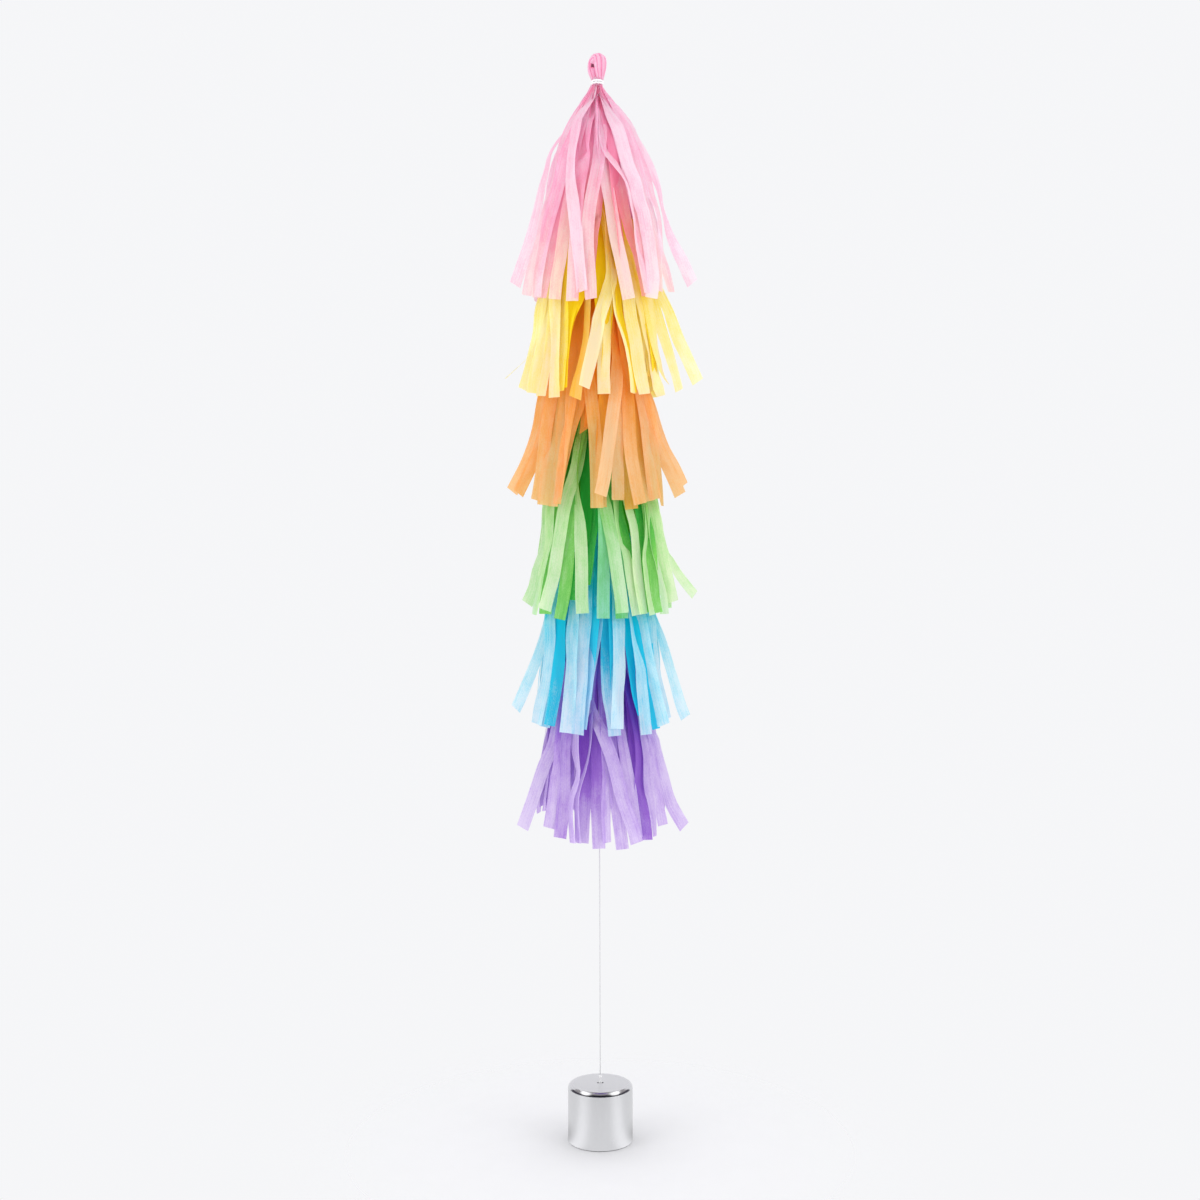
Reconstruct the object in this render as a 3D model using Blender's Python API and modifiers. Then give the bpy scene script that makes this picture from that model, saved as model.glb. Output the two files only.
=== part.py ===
"""A tassel balloon tail: six tissue tassels hung one below another, and a weight on a long cord.

Metres, +Z up. The origin is the middle of the eye in the top tassel's head loop, which the balloon
is tied to, and everything hangs below it. The head loops lie in the XZ plane. The photograph looks
at the tail from the azimuth VIEW_TURN, so the widest strips and the two holes of the weight lie
across that line of sight.
"""

import math
import random

import bmesh
import bpy
from mathutils import Matrix

MM = 0.001

COLLECTION = "tassel_balloon_tail"
COLOURS = ("pink", "yellow", "orange", "green", "blue", "purple")
TISSUE_COLOURS = {
    "pink": (0.95, 0.48, 0.65),
    "yellow": (1.0, 0.84, 0.28),
    "orange": (1.0, 0.42, 0.14),
    "green": (0.40, 0.75, 0.27),
    "blue": (0.31, 0.68, 0.87),
    "purple": (0.54, 0.38, 0.79),
}
WHITE = (0.92, 0.92, 0.92)
SILVER = (0.72, 0.72, 0.74)
PLASTER = (0.80, 0.78, 0.74)
DARK_RUBBER = (0.25, 0.25, 0.27)

# Distances from each tassel's tie to the next one's
PINK_TO_YELLOW = 92.0 * MM
YELLOW_TO_ORANGE = 99.0 * MM
ORANGE_TO_GREEN = 101.0 * MM
GREEN_TO_BLUE = 107.0 * MM
BLUE_TO_PURPLE = 105.0 * MM
TIE_SPACINGS = (PINK_TO_YELLOW, YELLOW_TO_ORANGE, ORANGE_TO_GREEN, GREEN_TO_BLUE, BLUE_TO_PURPLE)

# Clearances
GAP = 0.3 * MM
MERGE = 0.01 * MM
OVERRUN = 1.0 * MM

# The head: a bundle of tissue folded into a loop, and the neck that the binding pinches
EYE_WIDTH = 6.4 * MM
EYE_DROP = 9.5 * MM
BUNDLE_WIDTH = 8.8 * MM
BUNDLE_DEPTH = 13.4 * MM
LEG_END_WIDTH = 3.2 * MM
LEG_SLIT = 0.6 * MM
EYE_TO_TIE = 14.8 * MM
NECK_RADIUS = 4.4 * MM
NECK_ABOVE_TIE = 4.3 * MM
NECK_SHOULDER = 1.2 * MM
NECK_BELOW_TIE = 8.7 * MM
LEG_END_ABOVE_TIE = 0.8 * MM
CROWN_POINTS = 9
LEG_POINTS = 5
NECK_SIDES = 16

# The white cord, and the thread of the same cord round each neck
CORD_DIAMETER = 1.1 * MM
CORD_POINT_STEP = 20.0 * MM
KNOT_RADIUS = 1.5 * MM
KNOT_SIDES = 10
KNOT_RINGS = 6
BINDING_TURNS = 2.25
BINDING_PITCH = 2.4 * MM
BINDING_POINTS_PER_TURN = 12
RING_POINTS = 18
LEAST_WINDING_GAP = 0.4 * MM

# The fringe: two layers of strips, each hanging from a gathered band round the neck
TISSUE_THICKNESS = 0.2 * MM
STRIP_WIDTH = 12.0 * MM
FRINGE_DROP = 231.0 * MM
BAND_HEIGHT = 3.8 * MM
SKIRT_RADIUS = 74.0 * MM
INNER_LAYER_SHARE = 0.92
FLARE_DROP_SHARE = 0.365
FLARE_POWER = 1.04
OUTER_STRIPS = 14
INNER_STRIPS = 12
GATHER_SHARE = 0.7
ROW_SHARES = (0.0, 0.1, 0.3, 0.6, 0.8, 1.0)
SHORTEST_STRIP_SHARE = 0.94
OUTER_LIFT = 4.0 * MM
INNER_LIFT = 1.5 * MM
WANDER_SHARE = 0.35
FLYAWAY_REACH = 25.0 * MM
FLYAWAY_START_SHARE = 0.6
FLYAWAY_DROP_SHARE = 0.9
FLYAWAY_POWER = 1.5
VIEW_TURN = math.radians(65.0)

# The weight: a drawn shell over a cast block, closed by a base disc
CORD_LENGTH = 456.8 * MM
WEIGHT_DIAMETER = 63.0 * MM
WEIGHT_HEIGHT = 55.8 * MM
SHELL_WALL = 0.8 * MM
SHOULDER_RADIUS = 4.4 * MM
SHOULDER_POINTS = 5
SHELL_ABOVE_FLOOR = 0.7 * MM
SHELL_FOOT_RADIUS = 0.5 * MM
SHELL_FOOT_POINTS = 3
CORD_HOLE_SPACING = 4.0 * MM
CORD_HOLE_DIAMETER = 2.2 * MM
CORD_HOLE_SIDES = 16
EYE_RISE = 5.5 * MM
BLOCK_BELOW_TOP = 5.0 * MM
BASE_DISC_HEIGHT = 2.4 * MM
BASE_DISC_EDGE = 0.6 * MM
WEIGHT_SIDES = 36


def clear_scene():
    """Remove what the file held before, so that each run builds the same model."""
    for old in list(bpy.data.objects):
        bpy.data.objects.remove(old, do_unlink=True)


def new_collection(name):
    """A new collection under the scene's own."""
    collection = bpy.data.collections.new(name)
    bpy.context.scene.collection.children.link(collection)
    return collection


clear_scene()
PARTS = new_collection(COLLECTION)
CUTTERS = new_collection("cutters")


def finish(obj, colour, roughness, metallic=0.0):
    """Give an object its own Principled material, and put it among the parts."""
    material = bpy.data.materials.new(f"{obj.name}_finish")
    material.use_nodes = True
    shader = material.node_tree.nodes["Principled BSDF"]
    shader.inputs["Base Color"].default_value = (*colour, 1.0)
    shader.inputs["Roughness"].default_value = roughness
    shader.inputs["Metallic"].default_value = metallic
    obj.data.materials.append(material)
    PARTS.objects.link(obj)
    return obj


def place(obj, parent, height, turn=0.0):
    """Hang an object under a parent, at a height above it and turned about the vertical."""
    obj.parent = parent
    obj.location = (0.0, 0.0, height)
    obj.rotation_euler = (0.0, 0.0, turn)
    return obj


def pivot(name, parent, height):
    """An empty on a joint's axis; all that moves with the joint hangs under it."""
    empty = bpy.data.objects.new(name, None)
    empty.empty_display_size = BUNDLE_DEPTH
    PARTS.objects.link(empty)
    return place(empty, parent, height)


def smooth(mesh):
    """Shade a round piece smooth, and keep its real edges sharp."""
    mesh.shade_smooth()
    mesh.set_sharp_from_angle(angle=math.radians(40.0))


def tube(name, points, width, radius_shares=None, closed=False, resolution=2):
    """A tube of a given width along a list of points, as a closed mesh object."""
    curve = bpy.data.curves.new(name, "CURVE")
    curve.dimensions = "3D"
    curve.bevel_depth = width / 2
    curve.bevel_resolution = resolution
    curve.use_fill_caps = not closed
    spline = curve.splines.new("POLY")
    spline.points.add(len(points) - 1)
    for index, point in enumerate(points):
        spline.points[index].co = (*point, 1.0)
        spline.points[index].radius = radius_shares[index] if radius_shares else 1.0
    spline.use_cyclic_u = closed
    guide = bpy.data.objects.new(name, curve)
    bpy.context.scene.collection.objects.link(guide)
    evaluated = guide.evaluated_get(bpy.context.evaluated_depsgraph_get())
    mesh = bpy.data.meshes.new_from_object(evaluated)
    bpy.data.objects.remove(guide)
    welded = bmesh.new()
    welded.from_mesh(mesh)
    bmesh.ops.remove_doubles(welded, verts=welded.verts, dist=MERGE)
    bmesh.ops.recalc_face_normals(welded, faces=welded.faces)
    welded.to_mesh(mesh)
    welded.free()
    smooth(mesh)
    mesh.name = name
    return bpy.data.objects.new(name, mesh)


def turned(name, profile, sides):
    """A turned shape: a profile of (radius, height) points, top to bottom, spun about Z."""
    mesh = bpy.data.meshes.new(name)
    edges = [(index, index + 1) for index in range(len(profile) - 1)]
    mesh.from_pydata([(radius, 0.0, height) for radius, height in profile], edges, [])
    obj = bpy.data.objects.new(name, mesh)
    spin = obj.modifiers.new("spin", "SCREW")
    spin.steps = sides
    spin.render_steps = sides
    spin.use_merge_vertices = True
    spin.merge_threshold = MERGE
    spin.use_smooth_shade = True
    return obj


def combine(obj, tool, operation):
    """Join a shape to an object, or cut it away, with an exact Boolean."""
    CUTTERS.objects.link(tool)
    tool.hide_render = True
    tool.display_type = "WIRE"
    boolean = obj.modifiers.new(operation.lower(), "BOOLEAN")
    boolean.operation = operation
    boolean.object = tool
    boolean.solver = "EXACT"
    return obj


def knot(name, radius):
    """A small round knot, as a ball of a few faces."""
    shape = bmesh.new()
    bmesh.ops.create_uvsphere(shape, u_segments=KNOT_SIDES, v_segments=KNOT_RINGS, radius=radius)
    mesh = bpy.data.meshes.new(name)
    shape.to_mesh(mesh)
    shape.free()
    smooth(mesh)
    return bpy.data.objects.new(name, mesh)


def eased(share):
    """A smooth fall from 1 at share 0 to 0 at share 1."""
    return math.cos(math.pi / 2 * min(max(share, 0.0), 1.0)) ** 2


def leg_section(drop, end_drop):
    """Where a leg of the head loop runs, and its radius, at a drop below the eye's middle."""
    slit = LEG_SLIT / 2
    eye = slit + (EYE_WIDTH / 2 - slit) * eased(drop / EYE_DROP)
    radius = LEG_END_WIDTH / 2 + (BUNDLE_WIDTH - LEG_END_WIDTH) / 2 * eased(drop / end_drop)
    return eye + radius, radius


def head_route():
    """The loop's centre line and radii: up one leg, over the crown and down the other."""
    end_drop = EYE_TO_TIE - LEG_END_ABOVE_TIE
    drops = [end_drop * (index + 1) / LEG_POINTS for index in range(LEG_POINTS)]
    leg = [(*leg_section(drop, end_drop), drop) for drop in drops]
    route = [((-away, 0.0, -drop), radius) for away, radius, drop in reversed(leg)]
    crown = (EYE_WIDTH + BUNDLE_WIDTH) / 2
    for index in range(CROWN_POINTS):
        angle = math.pi * index / (CROWN_POINTS - 1)
        place_on_crown = (-crown * math.cos(angle), 0.0, crown * math.sin(angle))
        route.append((place_on_crown, BUNDLE_WIDTH / 2))
    route += [((away, 0.0, -drop), radius) for away, radius, drop in leg]
    return route


def make_head(colour, parent, eye_height):
    """The folded loop and its pinched neck, one bundle of tissue."""
    route = head_route()
    shares = [radius / (BUNDLE_WIDTH / 2) for _, radius in route]
    head = tube(f"{colour}_head", [point for point, _ in route], BUNDLE_WIDTH, shares)
    depth = Matrix.Diagonal((1.0, BUNDLE_DEPTH / BUNDLE_WIDTH, 1.0, 1.0))
    head.data.transform(depth)
    top = NECK_ABOVE_TIE - EYE_TO_TIE
    bottom = -NECK_BELOW_TIE - EYE_TO_TIE
    shoulder = NECK_RADIUS - NECK_SHOULDER
    profile = [(0.0, top), (shoulder, top), (NECK_RADIUS, top - NECK_SHOULDER)]
    profile += [(NECK_RADIUS, bottom), (0.0, bottom)]
    neck = turned(f"{colour}_neck_shape", profile, NECK_SIDES)
    combine(head, neck, "UNION")
    place(neck, parent, eye_height, math.pi / NECK_SIDES)
    finish(head, TISSUE_COLOURS[colour], 0.85)
    return place(head, parent, eye_height)


def least_gap(points, width):
    """The least gap between two turns of a winding, measured on its own points."""
    half_turn = BINDING_POINTS_PER_TURN // 2
    gaps = [
        math.dist(points[first], points[second]) - width
        for first in range(len(points))
        for second in range(first + half_turn, len(points))
    ]
    return min(gaps)


def make_binding(colour, parent, tie_height):
    """The thread wound round the neck, one unbroken winding."""
    radius = NECK_RADIUS + GAP + CORD_DIAMETER / 2
    count = round(BINDING_TURNS * BINDING_POINTS_PER_TURN)
    points = []
    for index in range(count + 1):
        turns = BINDING_TURNS * index / count
        angle = VIEW_TURN - math.pi / 2 + math.tau * (turns - BINDING_TURNS / 2)
        height = BINDING_PITCH * (turns - BINDING_TURNS / 2)
        points.append((radius * math.cos(angle), radius * math.sin(angle), height))
    gap = least_gap(points, CORD_DIAMETER)
    print(f"{colour}_binding: least gap {gap / MM:.2f} mm, at least {LEAST_WINDING_GAP / MM} wanted")
    binding = tube(f"{colour}_binding", points, CORD_DIAMETER, resolution=1)
    finish(binding, WHITE, 0.6)
    return place(binding, parent, tie_height)


def layer_radius(drop, band_radius, layer_share):
    """How far a layer stands from the axis at a drop below the tie."""
    swell = 1.0 - math.exp(-((drop / (FRINGE_DROP * FLARE_DROP_SHARE)) ** FLARE_POWER))
    return max(band_radius, SKIRT_RADIUS * layer_share * swell)


def make_fringe(name, parent, tie_height, colour, count, band_radius, layer_share, lift, turn, flyaways):
    """One layer of the fringe: strips on a gathered band, cut from one sheet of tissue."""
    chance = random.Random(name)
    sheet = bmesh.new()
    band_top = BINDING_TURNS * BINDING_PITCH / 2 + CORD_DIAMETER / 2 + GAP
    band_bottom = band_top + BAND_HEIGHT
    pitch = math.tau / count

    def corner(radius, angle, drop):
        return sheet.verts.new((radius * math.cos(angle), radius * math.sin(angle), -drop))

    tops = []
    for index in range(count):
        middle = turn + pitch * index
        drop_share = chance.uniform(SHORTEST_STRIP_SHARE, 1.0)
        raised = lift * chance.random()
        wander = WANDER_SHARE * pitch * chance.uniform(-1.0, 1.0)
        reach = 0.0
        if index in flyaways:
            drop_share = FLYAWAY_DROP_SHARE
            reach = FLYAWAY_REACH
            wander = 0.0
        half_gather = GATHER_SHARE * pitch / 2
        upper = [corner(band_radius, middle + side * half_gather, band_top) for side in (-1, 1)]
        row = [corner(band_radius, middle + side * half_gather, band_bottom) for side in (-1, 1)]
        sheet.faces.new((upper[0], row[0], row[1], upper[1]))
        tops.append((upper, row))
        for share in ROW_SHARES[1:]:
            drop = band_bottom + (FRINGE_DROP * drop_share - band_bottom) * share
            radius = layer_radius(drop, band_radius, layer_share) + raised * share**2
            past = max(share - FLYAWAY_START_SHARE, 0.0) / (1.0 - FLYAWAY_START_SHARE)
            radius += reach * past**FLYAWAY_POWER
            half = min(half_gather, STRIP_WIDTH / 2 / radius)
            centre = middle + wander * share**2
            lower = [corner(radius, centre + side * half, drop) for side in (-1, 1)]
            sheet.faces.new((row[0], lower[0], lower[1], row[1]))
            row = lower
    for index, (upper, row) in enumerate(tops):
        next_upper, next_row = tops[(index + 1) % count]
        sheet.faces.new((upper[1], row[1], next_row[0], next_upper[0]))
    mesh = bpy.data.meshes.new(name)
    sheet.to_mesh(mesh)
    sheet.free()
    fringe = bpy.data.objects.new(name, mesh)
    solid = fringe.modifiers.new("thickness", "SOLIDIFY")
    solid.thickness = TISSUE_THICKNESS
    solid.offset = 0.0
    finish(fringe, TISSUE_COLOURS[colour], 0.9)
    return place(fringe, parent, tie_height)


def make_fringes(colour, parent, tie_height):
    """Both layers of a tassel's fringe, the inner one seated on the neck."""
    inner_band = NECK_RADIUS + GAP + TISSUE_THICKNESS / 2
    outer_band = inner_band + TISSUE_THICKNESS + GAP
    across = (0, OUTER_STRIPS // 2)
    make_fringe(
        f"{colour}_fringe_outer", parent, tie_height, colour, OUTER_STRIPS, outer_band, 1.0,
        OUTER_LIFT, VIEW_TURN, across,
    )
    make_fringe(
        f"{colour}_fringe_inner", parent, tie_height, colour, INNER_STRIPS, inner_band,
        INNER_LAYER_SHARE, INNER_LIFT, VIEW_TURN + math.pi / INNER_STRIPS, (),
    )


def oval(across, top, bottom, along_y):
    """Points round a closed oval, whose upper and lower halves may differ in height."""
    points = []
    for index in range(RING_POINTS):
        angle = math.tau * index / RING_POINTS
        side = across * math.cos(angle)
        height = (top if math.sin(angle) > 0 else bottom) * math.sin(angle)
        points.append((0.0, side, height) if along_y else (side, 0.0, height))
    return points


def make_hanger(colour, parent, crown_height):
    """The ring of cord through a head's eye and round its crown, drawn up into a knot."""
    seat = GAP + CORD_DIAMETER / 2
    rise = BUNDLE_WIDTH / 2 + seat
    ring = tube(
        f"{colour}_hanger", oval(BUNDLE_DEPTH / 2 + seat, rise, rise, True), CORD_DIAMETER,
        closed=True, resolution=1,
    )
    ball = knot(f"{colour}_hanger_knot_shape", KNOT_RADIUS)
    combine(ring, ball, "UNION")
    place(ball, parent, 0.0, math.pi / KNOT_SIDES)
    finish(ring, WHITE, 0.6)
    return place(ring, parent, crown_height)


def make_cord(name, parent, top, bottom):
    """A taut stretch of cord, straight down the axis."""
    count = max(2, math.ceil((top - bottom) / CORD_POINT_STEP) + 1)
    points = [(0.0, 0.0, -(top - bottom) * index / (count - 1)) for index in range(count)]
    cord = tube(name, points, CORD_DIAMETER)
    finish(cord, WHITE, 0.6)
    return place(cord, parent, top)


def arc(middle_radius, middle_height, radius, first, last, count):
    """Points of a rounding on a turned profile, between two angles."""
    points = []
    for index in range(count):
        angle = first + (last - first) * index / (count - 1)
        across = middle_radius + radius * math.cos(angle)
        points.append((across, middle_height + radius * math.sin(angle)))
    return points


def make_weight(parent, top):
    """The shell, the cast block in it and the disc that closes it, below a height."""
    radius = WEIGHT_DIAMETER / 2
    floor = -WEIGHT_HEIGHT
    foot = floor + SHELL_ABOVE_FLOOR
    profile = [(0.0, 0.0)]
    profile += arc(
        radius - SHOULDER_RADIUS, -SHOULDER_RADIUS, SHOULDER_RADIUS, math.pi / 2, 0.0,
        SHOULDER_POINTS,
    )
    profile += arc(
        radius - SHELL_FOOT_RADIUS, foot + SHELL_FOOT_RADIUS, SHELL_FOOT_RADIUS, 0.0,
        -math.pi / 4, SHELL_FOOT_POINTS,
    )
    shell = turned("weight_shell", profile, WEIGHT_SIDES)
    wall = shell.modifiers.new("wall", "SOLIDIFY")
    wall.thickness = SHELL_WALL
    wall.offset = -1.0
    for side in (-1, 1):
        drill = turned(
            f"weight_hole_shape_{'left' if side < 0 else 'right'}",
            [
                (0.0, OVERRUN),
                (CORD_HOLE_DIAMETER / 2, OVERRUN),
                (CORD_HOLE_DIAMETER / 2, -SHELL_WALL - OVERRUN),
                (0.0, -SHELL_WALL - OVERRUN),
            ],
            CORD_HOLE_SIDES,
        )
        combine(shell, drill, "DIFFERENCE")
        drill.parent = parent
        away = side * CORD_HOLE_SPACING / 2
        drill.location = (away * math.cos(VIEW_TURN), away * math.sin(VIEW_TURN), top)
    finish(shell, SILVER, 0.32, 1.0)
    place(shell, parent, top, VIEW_TURN)

    inside = radius - SHELL_WALL - SHELL_FOOT_RADIUS - GAP
    disc_top = floor + BASE_DISC_HEIGHT
    block_top = -BLOCK_BELOW_TOP
    block_bottom = disc_top + GAP
    block = turned(
        "weight_block",
        [(0.0, block_top), (inside, block_top), (inside, block_bottom), (0.0, block_bottom)],
        WEIGHT_SIDES,
    )
    finish(block, PLASTER, 0.9)
    place(block, parent, top, VIEW_TURN)
    disc = turned(
        "weight_base_disc",
        [
            (0.0, disc_top),
            (inside, disc_top),
            (inside, floor + BASE_DISC_EDGE),
            (inside - BASE_DISC_EDGE, floor),
            (0.0, floor),
        ],
        WEIGHT_SIDES,
    )
    finish(disc, DARK_RUBBER, 0.9)
    place(disc, parent, top, VIEW_TURN)


def make_cord_eye(parent, below_knot):
    """The loop of cord down through one hole of the weight and up through the other."""
    under_bridge = SHELL_WALL / 2 + GAP + CORD_DIAMETER / 2
    loop = tube(
        "weight_cord_eye", oval(CORD_HOLE_SPACING / 2, below_knot, under_bridge, False),
        CORD_DIAMETER, closed=True, resolution=1,
    )
    ball = knot("weight_knot_shape", KNOT_RADIUS)
    combine(loop, ball, "UNION")
    place(ball, parent, 0.0, math.pi / KNOT_SIDES)
    finish(loop, WHITE, 0.6)
    return place(loop, parent, -below_knot, VIEW_TURN)


def make_tail():
    """Build the tassels from the top down, then the long cord and the weight."""
    crown_above_eye = (EYE_WIDTH + BUNDLE_WIDTH) / 2
    knot_above_crown = BUNDLE_WIDTH / 2 + GAP + CORD_DIAMETER / 2 + KNOT_RADIUS / 2
    knot_above_eye = crown_above_eye + knot_above_crown
    knot_above_tie = knot_above_eye + EYE_TO_TIE
    body = pivot("balloon_eye", None, 0.0)
    eye_height = 0.0
    for index, colour in enumerate(COLOURS):
        tie_height = eye_height - EYE_TO_TIE
        make_head(colour, body, eye_height)
        make_binding(colour, body, tie_height)
        make_fringes(colour, body, tie_height)
        if index:
            make_hanger(colour, body, -knot_above_crown)
        cord_top = tie_height - NECK_BELOW_TIE - GAP
        if index < len(TIE_SPACINGS):
            next_knot = tie_height - TIE_SPACINGS[index] + knot_above_tie
            make_cord(f"{colour}_cord", body, cord_top, next_knot + KNOT_RADIUS + GAP)
            body = pivot(f"{COLOURS[index + 1]}_pivot", body, next_knot)
            eye_height = -knot_above_eye
    body = pivot("weight_cord_pivot", body, cord_top)
    make_cord("weight_cord", body, 0.0, -CORD_LENGTH)
    body = pivot("weight_knot_pivot", body, -CORD_LENGTH - GAP - KNOT_RADIUS)
    below_knot = EYE_RISE + SHELL_WALL / 2
    make_cord_eye(body, below_knot)
    body = pivot("weight_bridge_pivot", body, -below_knot)
    make_weight(body, SHELL_WALL / 2)


make_tail()
bpy.context.view_layer.update()
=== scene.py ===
"""Dresses the tassel balloon tail: six tissue tassels, their cord and the silver weight.

Lengths are in metres unless a note says otherwise, and pixels are those of the 1200 x 1200 photograph.
"""

import bisect
import logging
import math
import random
from dataclasses import dataclass
from enum import Enum

import bmesh
import bpy
from mathutils import Matrix, Vector


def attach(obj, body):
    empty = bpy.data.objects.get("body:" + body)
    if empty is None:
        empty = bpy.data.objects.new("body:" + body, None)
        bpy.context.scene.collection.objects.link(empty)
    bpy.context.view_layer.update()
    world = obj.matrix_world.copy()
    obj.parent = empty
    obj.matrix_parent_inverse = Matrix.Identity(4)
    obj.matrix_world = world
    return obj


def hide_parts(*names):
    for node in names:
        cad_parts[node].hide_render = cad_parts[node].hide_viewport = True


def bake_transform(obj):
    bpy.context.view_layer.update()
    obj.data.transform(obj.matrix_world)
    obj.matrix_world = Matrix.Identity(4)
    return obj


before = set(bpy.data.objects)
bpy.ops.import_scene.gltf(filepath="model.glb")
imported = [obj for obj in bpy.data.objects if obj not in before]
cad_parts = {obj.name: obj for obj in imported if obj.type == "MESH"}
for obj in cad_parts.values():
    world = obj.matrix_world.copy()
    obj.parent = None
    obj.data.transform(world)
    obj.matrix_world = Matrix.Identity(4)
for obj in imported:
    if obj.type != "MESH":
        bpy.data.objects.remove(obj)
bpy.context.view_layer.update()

LOG = logging.getLogger("tassel_tail")
MM = 0.001
SIDES = (-1.0, 1.0)

Point = tuple[float, ...]
Colour = tuple[float, float, float]
Socket = bpy.types.NodeSocket
Material = bpy.types.Material
Piece = bpy.types.Object


def on_axis(height: float) -> Vector:
    """Return the point of the upright axis at a height."""
    return Vector((0.0, 0.0, height))


def placed(name: str, data: bpy.types.ID) -> Piece:
    """Put a mesh, curve, light or camera in the scene.

    Args:
        name: The object's name.
        data: What it shows.

    Returns:
        The object.
    """
    piece = bpy.data.objects.new(name, data)
    bpy.context.scene.collection.objects.link(piece)
    return piece


def meshed(name: str, shape: bmesh.types.BMesh) -> bpy.types.Mesh:
    """Turn a finished shape into a mesh, and free the shape.

    Args:
        name: The mesh's name.
        shape: The shape.

    Returns:
        The mesh.
    """
    mesh = bpy.data.meshes.new(name)
    shape.to_mesh(mesh)
    shape.free()
    return mesh


def disc(name: str, radius: float) -> Piece:
    """Make a flat round sheet, level and in the scene.

    Args:
        name: The sheet's name.
        radius: From its middle to its rim.

    Returns:
        The sheet.
    """
    shape = bmesh.new()
    bmesh.ops.create_circle(shape, cap_ends=True, segments=96, radius=radius)
    return placed(name, meshed(name, shape))


def spun(name: str, profile: list[Point], sides: int) -> Piece:
    """Spin a profile round the upright axis.

    Args:
        name: The piece's name.
        profile: Distance from the axis and height of each point, from the axis out over the top and back.
        sides: Faces in a full round.

    Returns:
        The piece, with no parent.
    """
    (_, above), *round_by, (_, below) = profile
    size = len(round_by)
    points = [(0.0, 0.0, above), (0.0, 0.0, below)]
    faces = []
    for side in range(sides):
        turn = math.tau * side / sides
        points += [(out * math.cos(turn), out * math.sin(turn), height) for out, height in round_by]
        here = 2 + side * size
        there = 2 + (side + 1) % sides * size
        faces.append((0, here, there))
        faces += [(here + at, here + at + 1, there + at + 1, there + at) for at in range(size - 1)]
        faces.append((here + size - 1, 1, there + size - 1))
    mesh = bpy.data.meshes.new(name)
    mesh.from_pydata(points, [], faces)
    return placed(name, mesh)


def smoothed(mesh: bpy.types.Mesh, sharp_from: float | None = None) -> None:
    """Shade a mesh smoothly, apart from edges that turn by more than some degrees."""
    mesh.polygons.foreach_set("use_smooth", [True] * len(mesh.polygons))
    if sharp_from is not None:
        mesh.set_sharp_from_angle(angle=math.radians(sharp_from))


def marked(mesh: bpy.types.Mesh, name: str, values: list[float]) -> None:
    """Give each point of a mesh a value that its material reads."""
    mesh.attributes.new(name, "FLOAT", "POINT").data.foreach_set("value", values)


def eased(value: float, low: float, high: float) -> float:
    """Return 0 below low, 1 above high and a smooth step between them."""
    share = min(1.0, max(0.0, (value - low) / (high - low)))
    return share * share * (3.0 - 2.0 * share)


def heading(line: list[Vector], index: int) -> Vector:
    """Return the direction that a line runs in at one of its points."""
    return (line[min(index + 1, len(line) - 1)] - line[max(index - 1, 0)]).normalized()


def through_points(knots: list[Point], count: int) -> list[Point]:
    """Run a smooth curve through points and space new ones evenly along it.

    Args:
        knots: Points of any number of values each, a place first.
        count: How many points to return.

    Returns:
        The points along the curve.
    """
    between = 12
    ends = [knots[0], *knots, knots[-1]]
    fine: list[Point] = []
    for index in range(1, len(ends) - 2):
        before, start, stop, after = ends[index - 1 : index + 3]
        for step in range(between):
            share = step / between
            square = share * share
            cube = square * share
            fine.append(tuple(
                0.5 * (
                    2.0 * b + (c - a) * share + (2.0 * a - 5.0 * b + 4.0 * c - d) * square
                    + (3.0 * b - a - 3.0 * c + d) * cube
                )
                for a, b, c, d in zip(before, start, stop, after)
            ))
    fine.append(tuple(knots[-1]))
    reached = [0.0]
    for first, second in zip(fine, fine[1:]):
        reached.append(reached[-1] + math.dist(first[:3], second[:3]))
    spaced = []
    for index in range(count):
        wanted = reached[-1] * index / (count - 1)
        upper = min(len(fine) - 1, max(1, bisect.bisect_left(reached, wanted)))
        gap = reached[upper] - reached[upper - 1]
        share = (wanted - reached[upper - 1]) / gap if gap > 1e-12 else 0.0
        spaced.append(tuple(a + (b - a) * share for a, b in zip(fine[upper - 1], fine[upper])))
    return spaced


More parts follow.
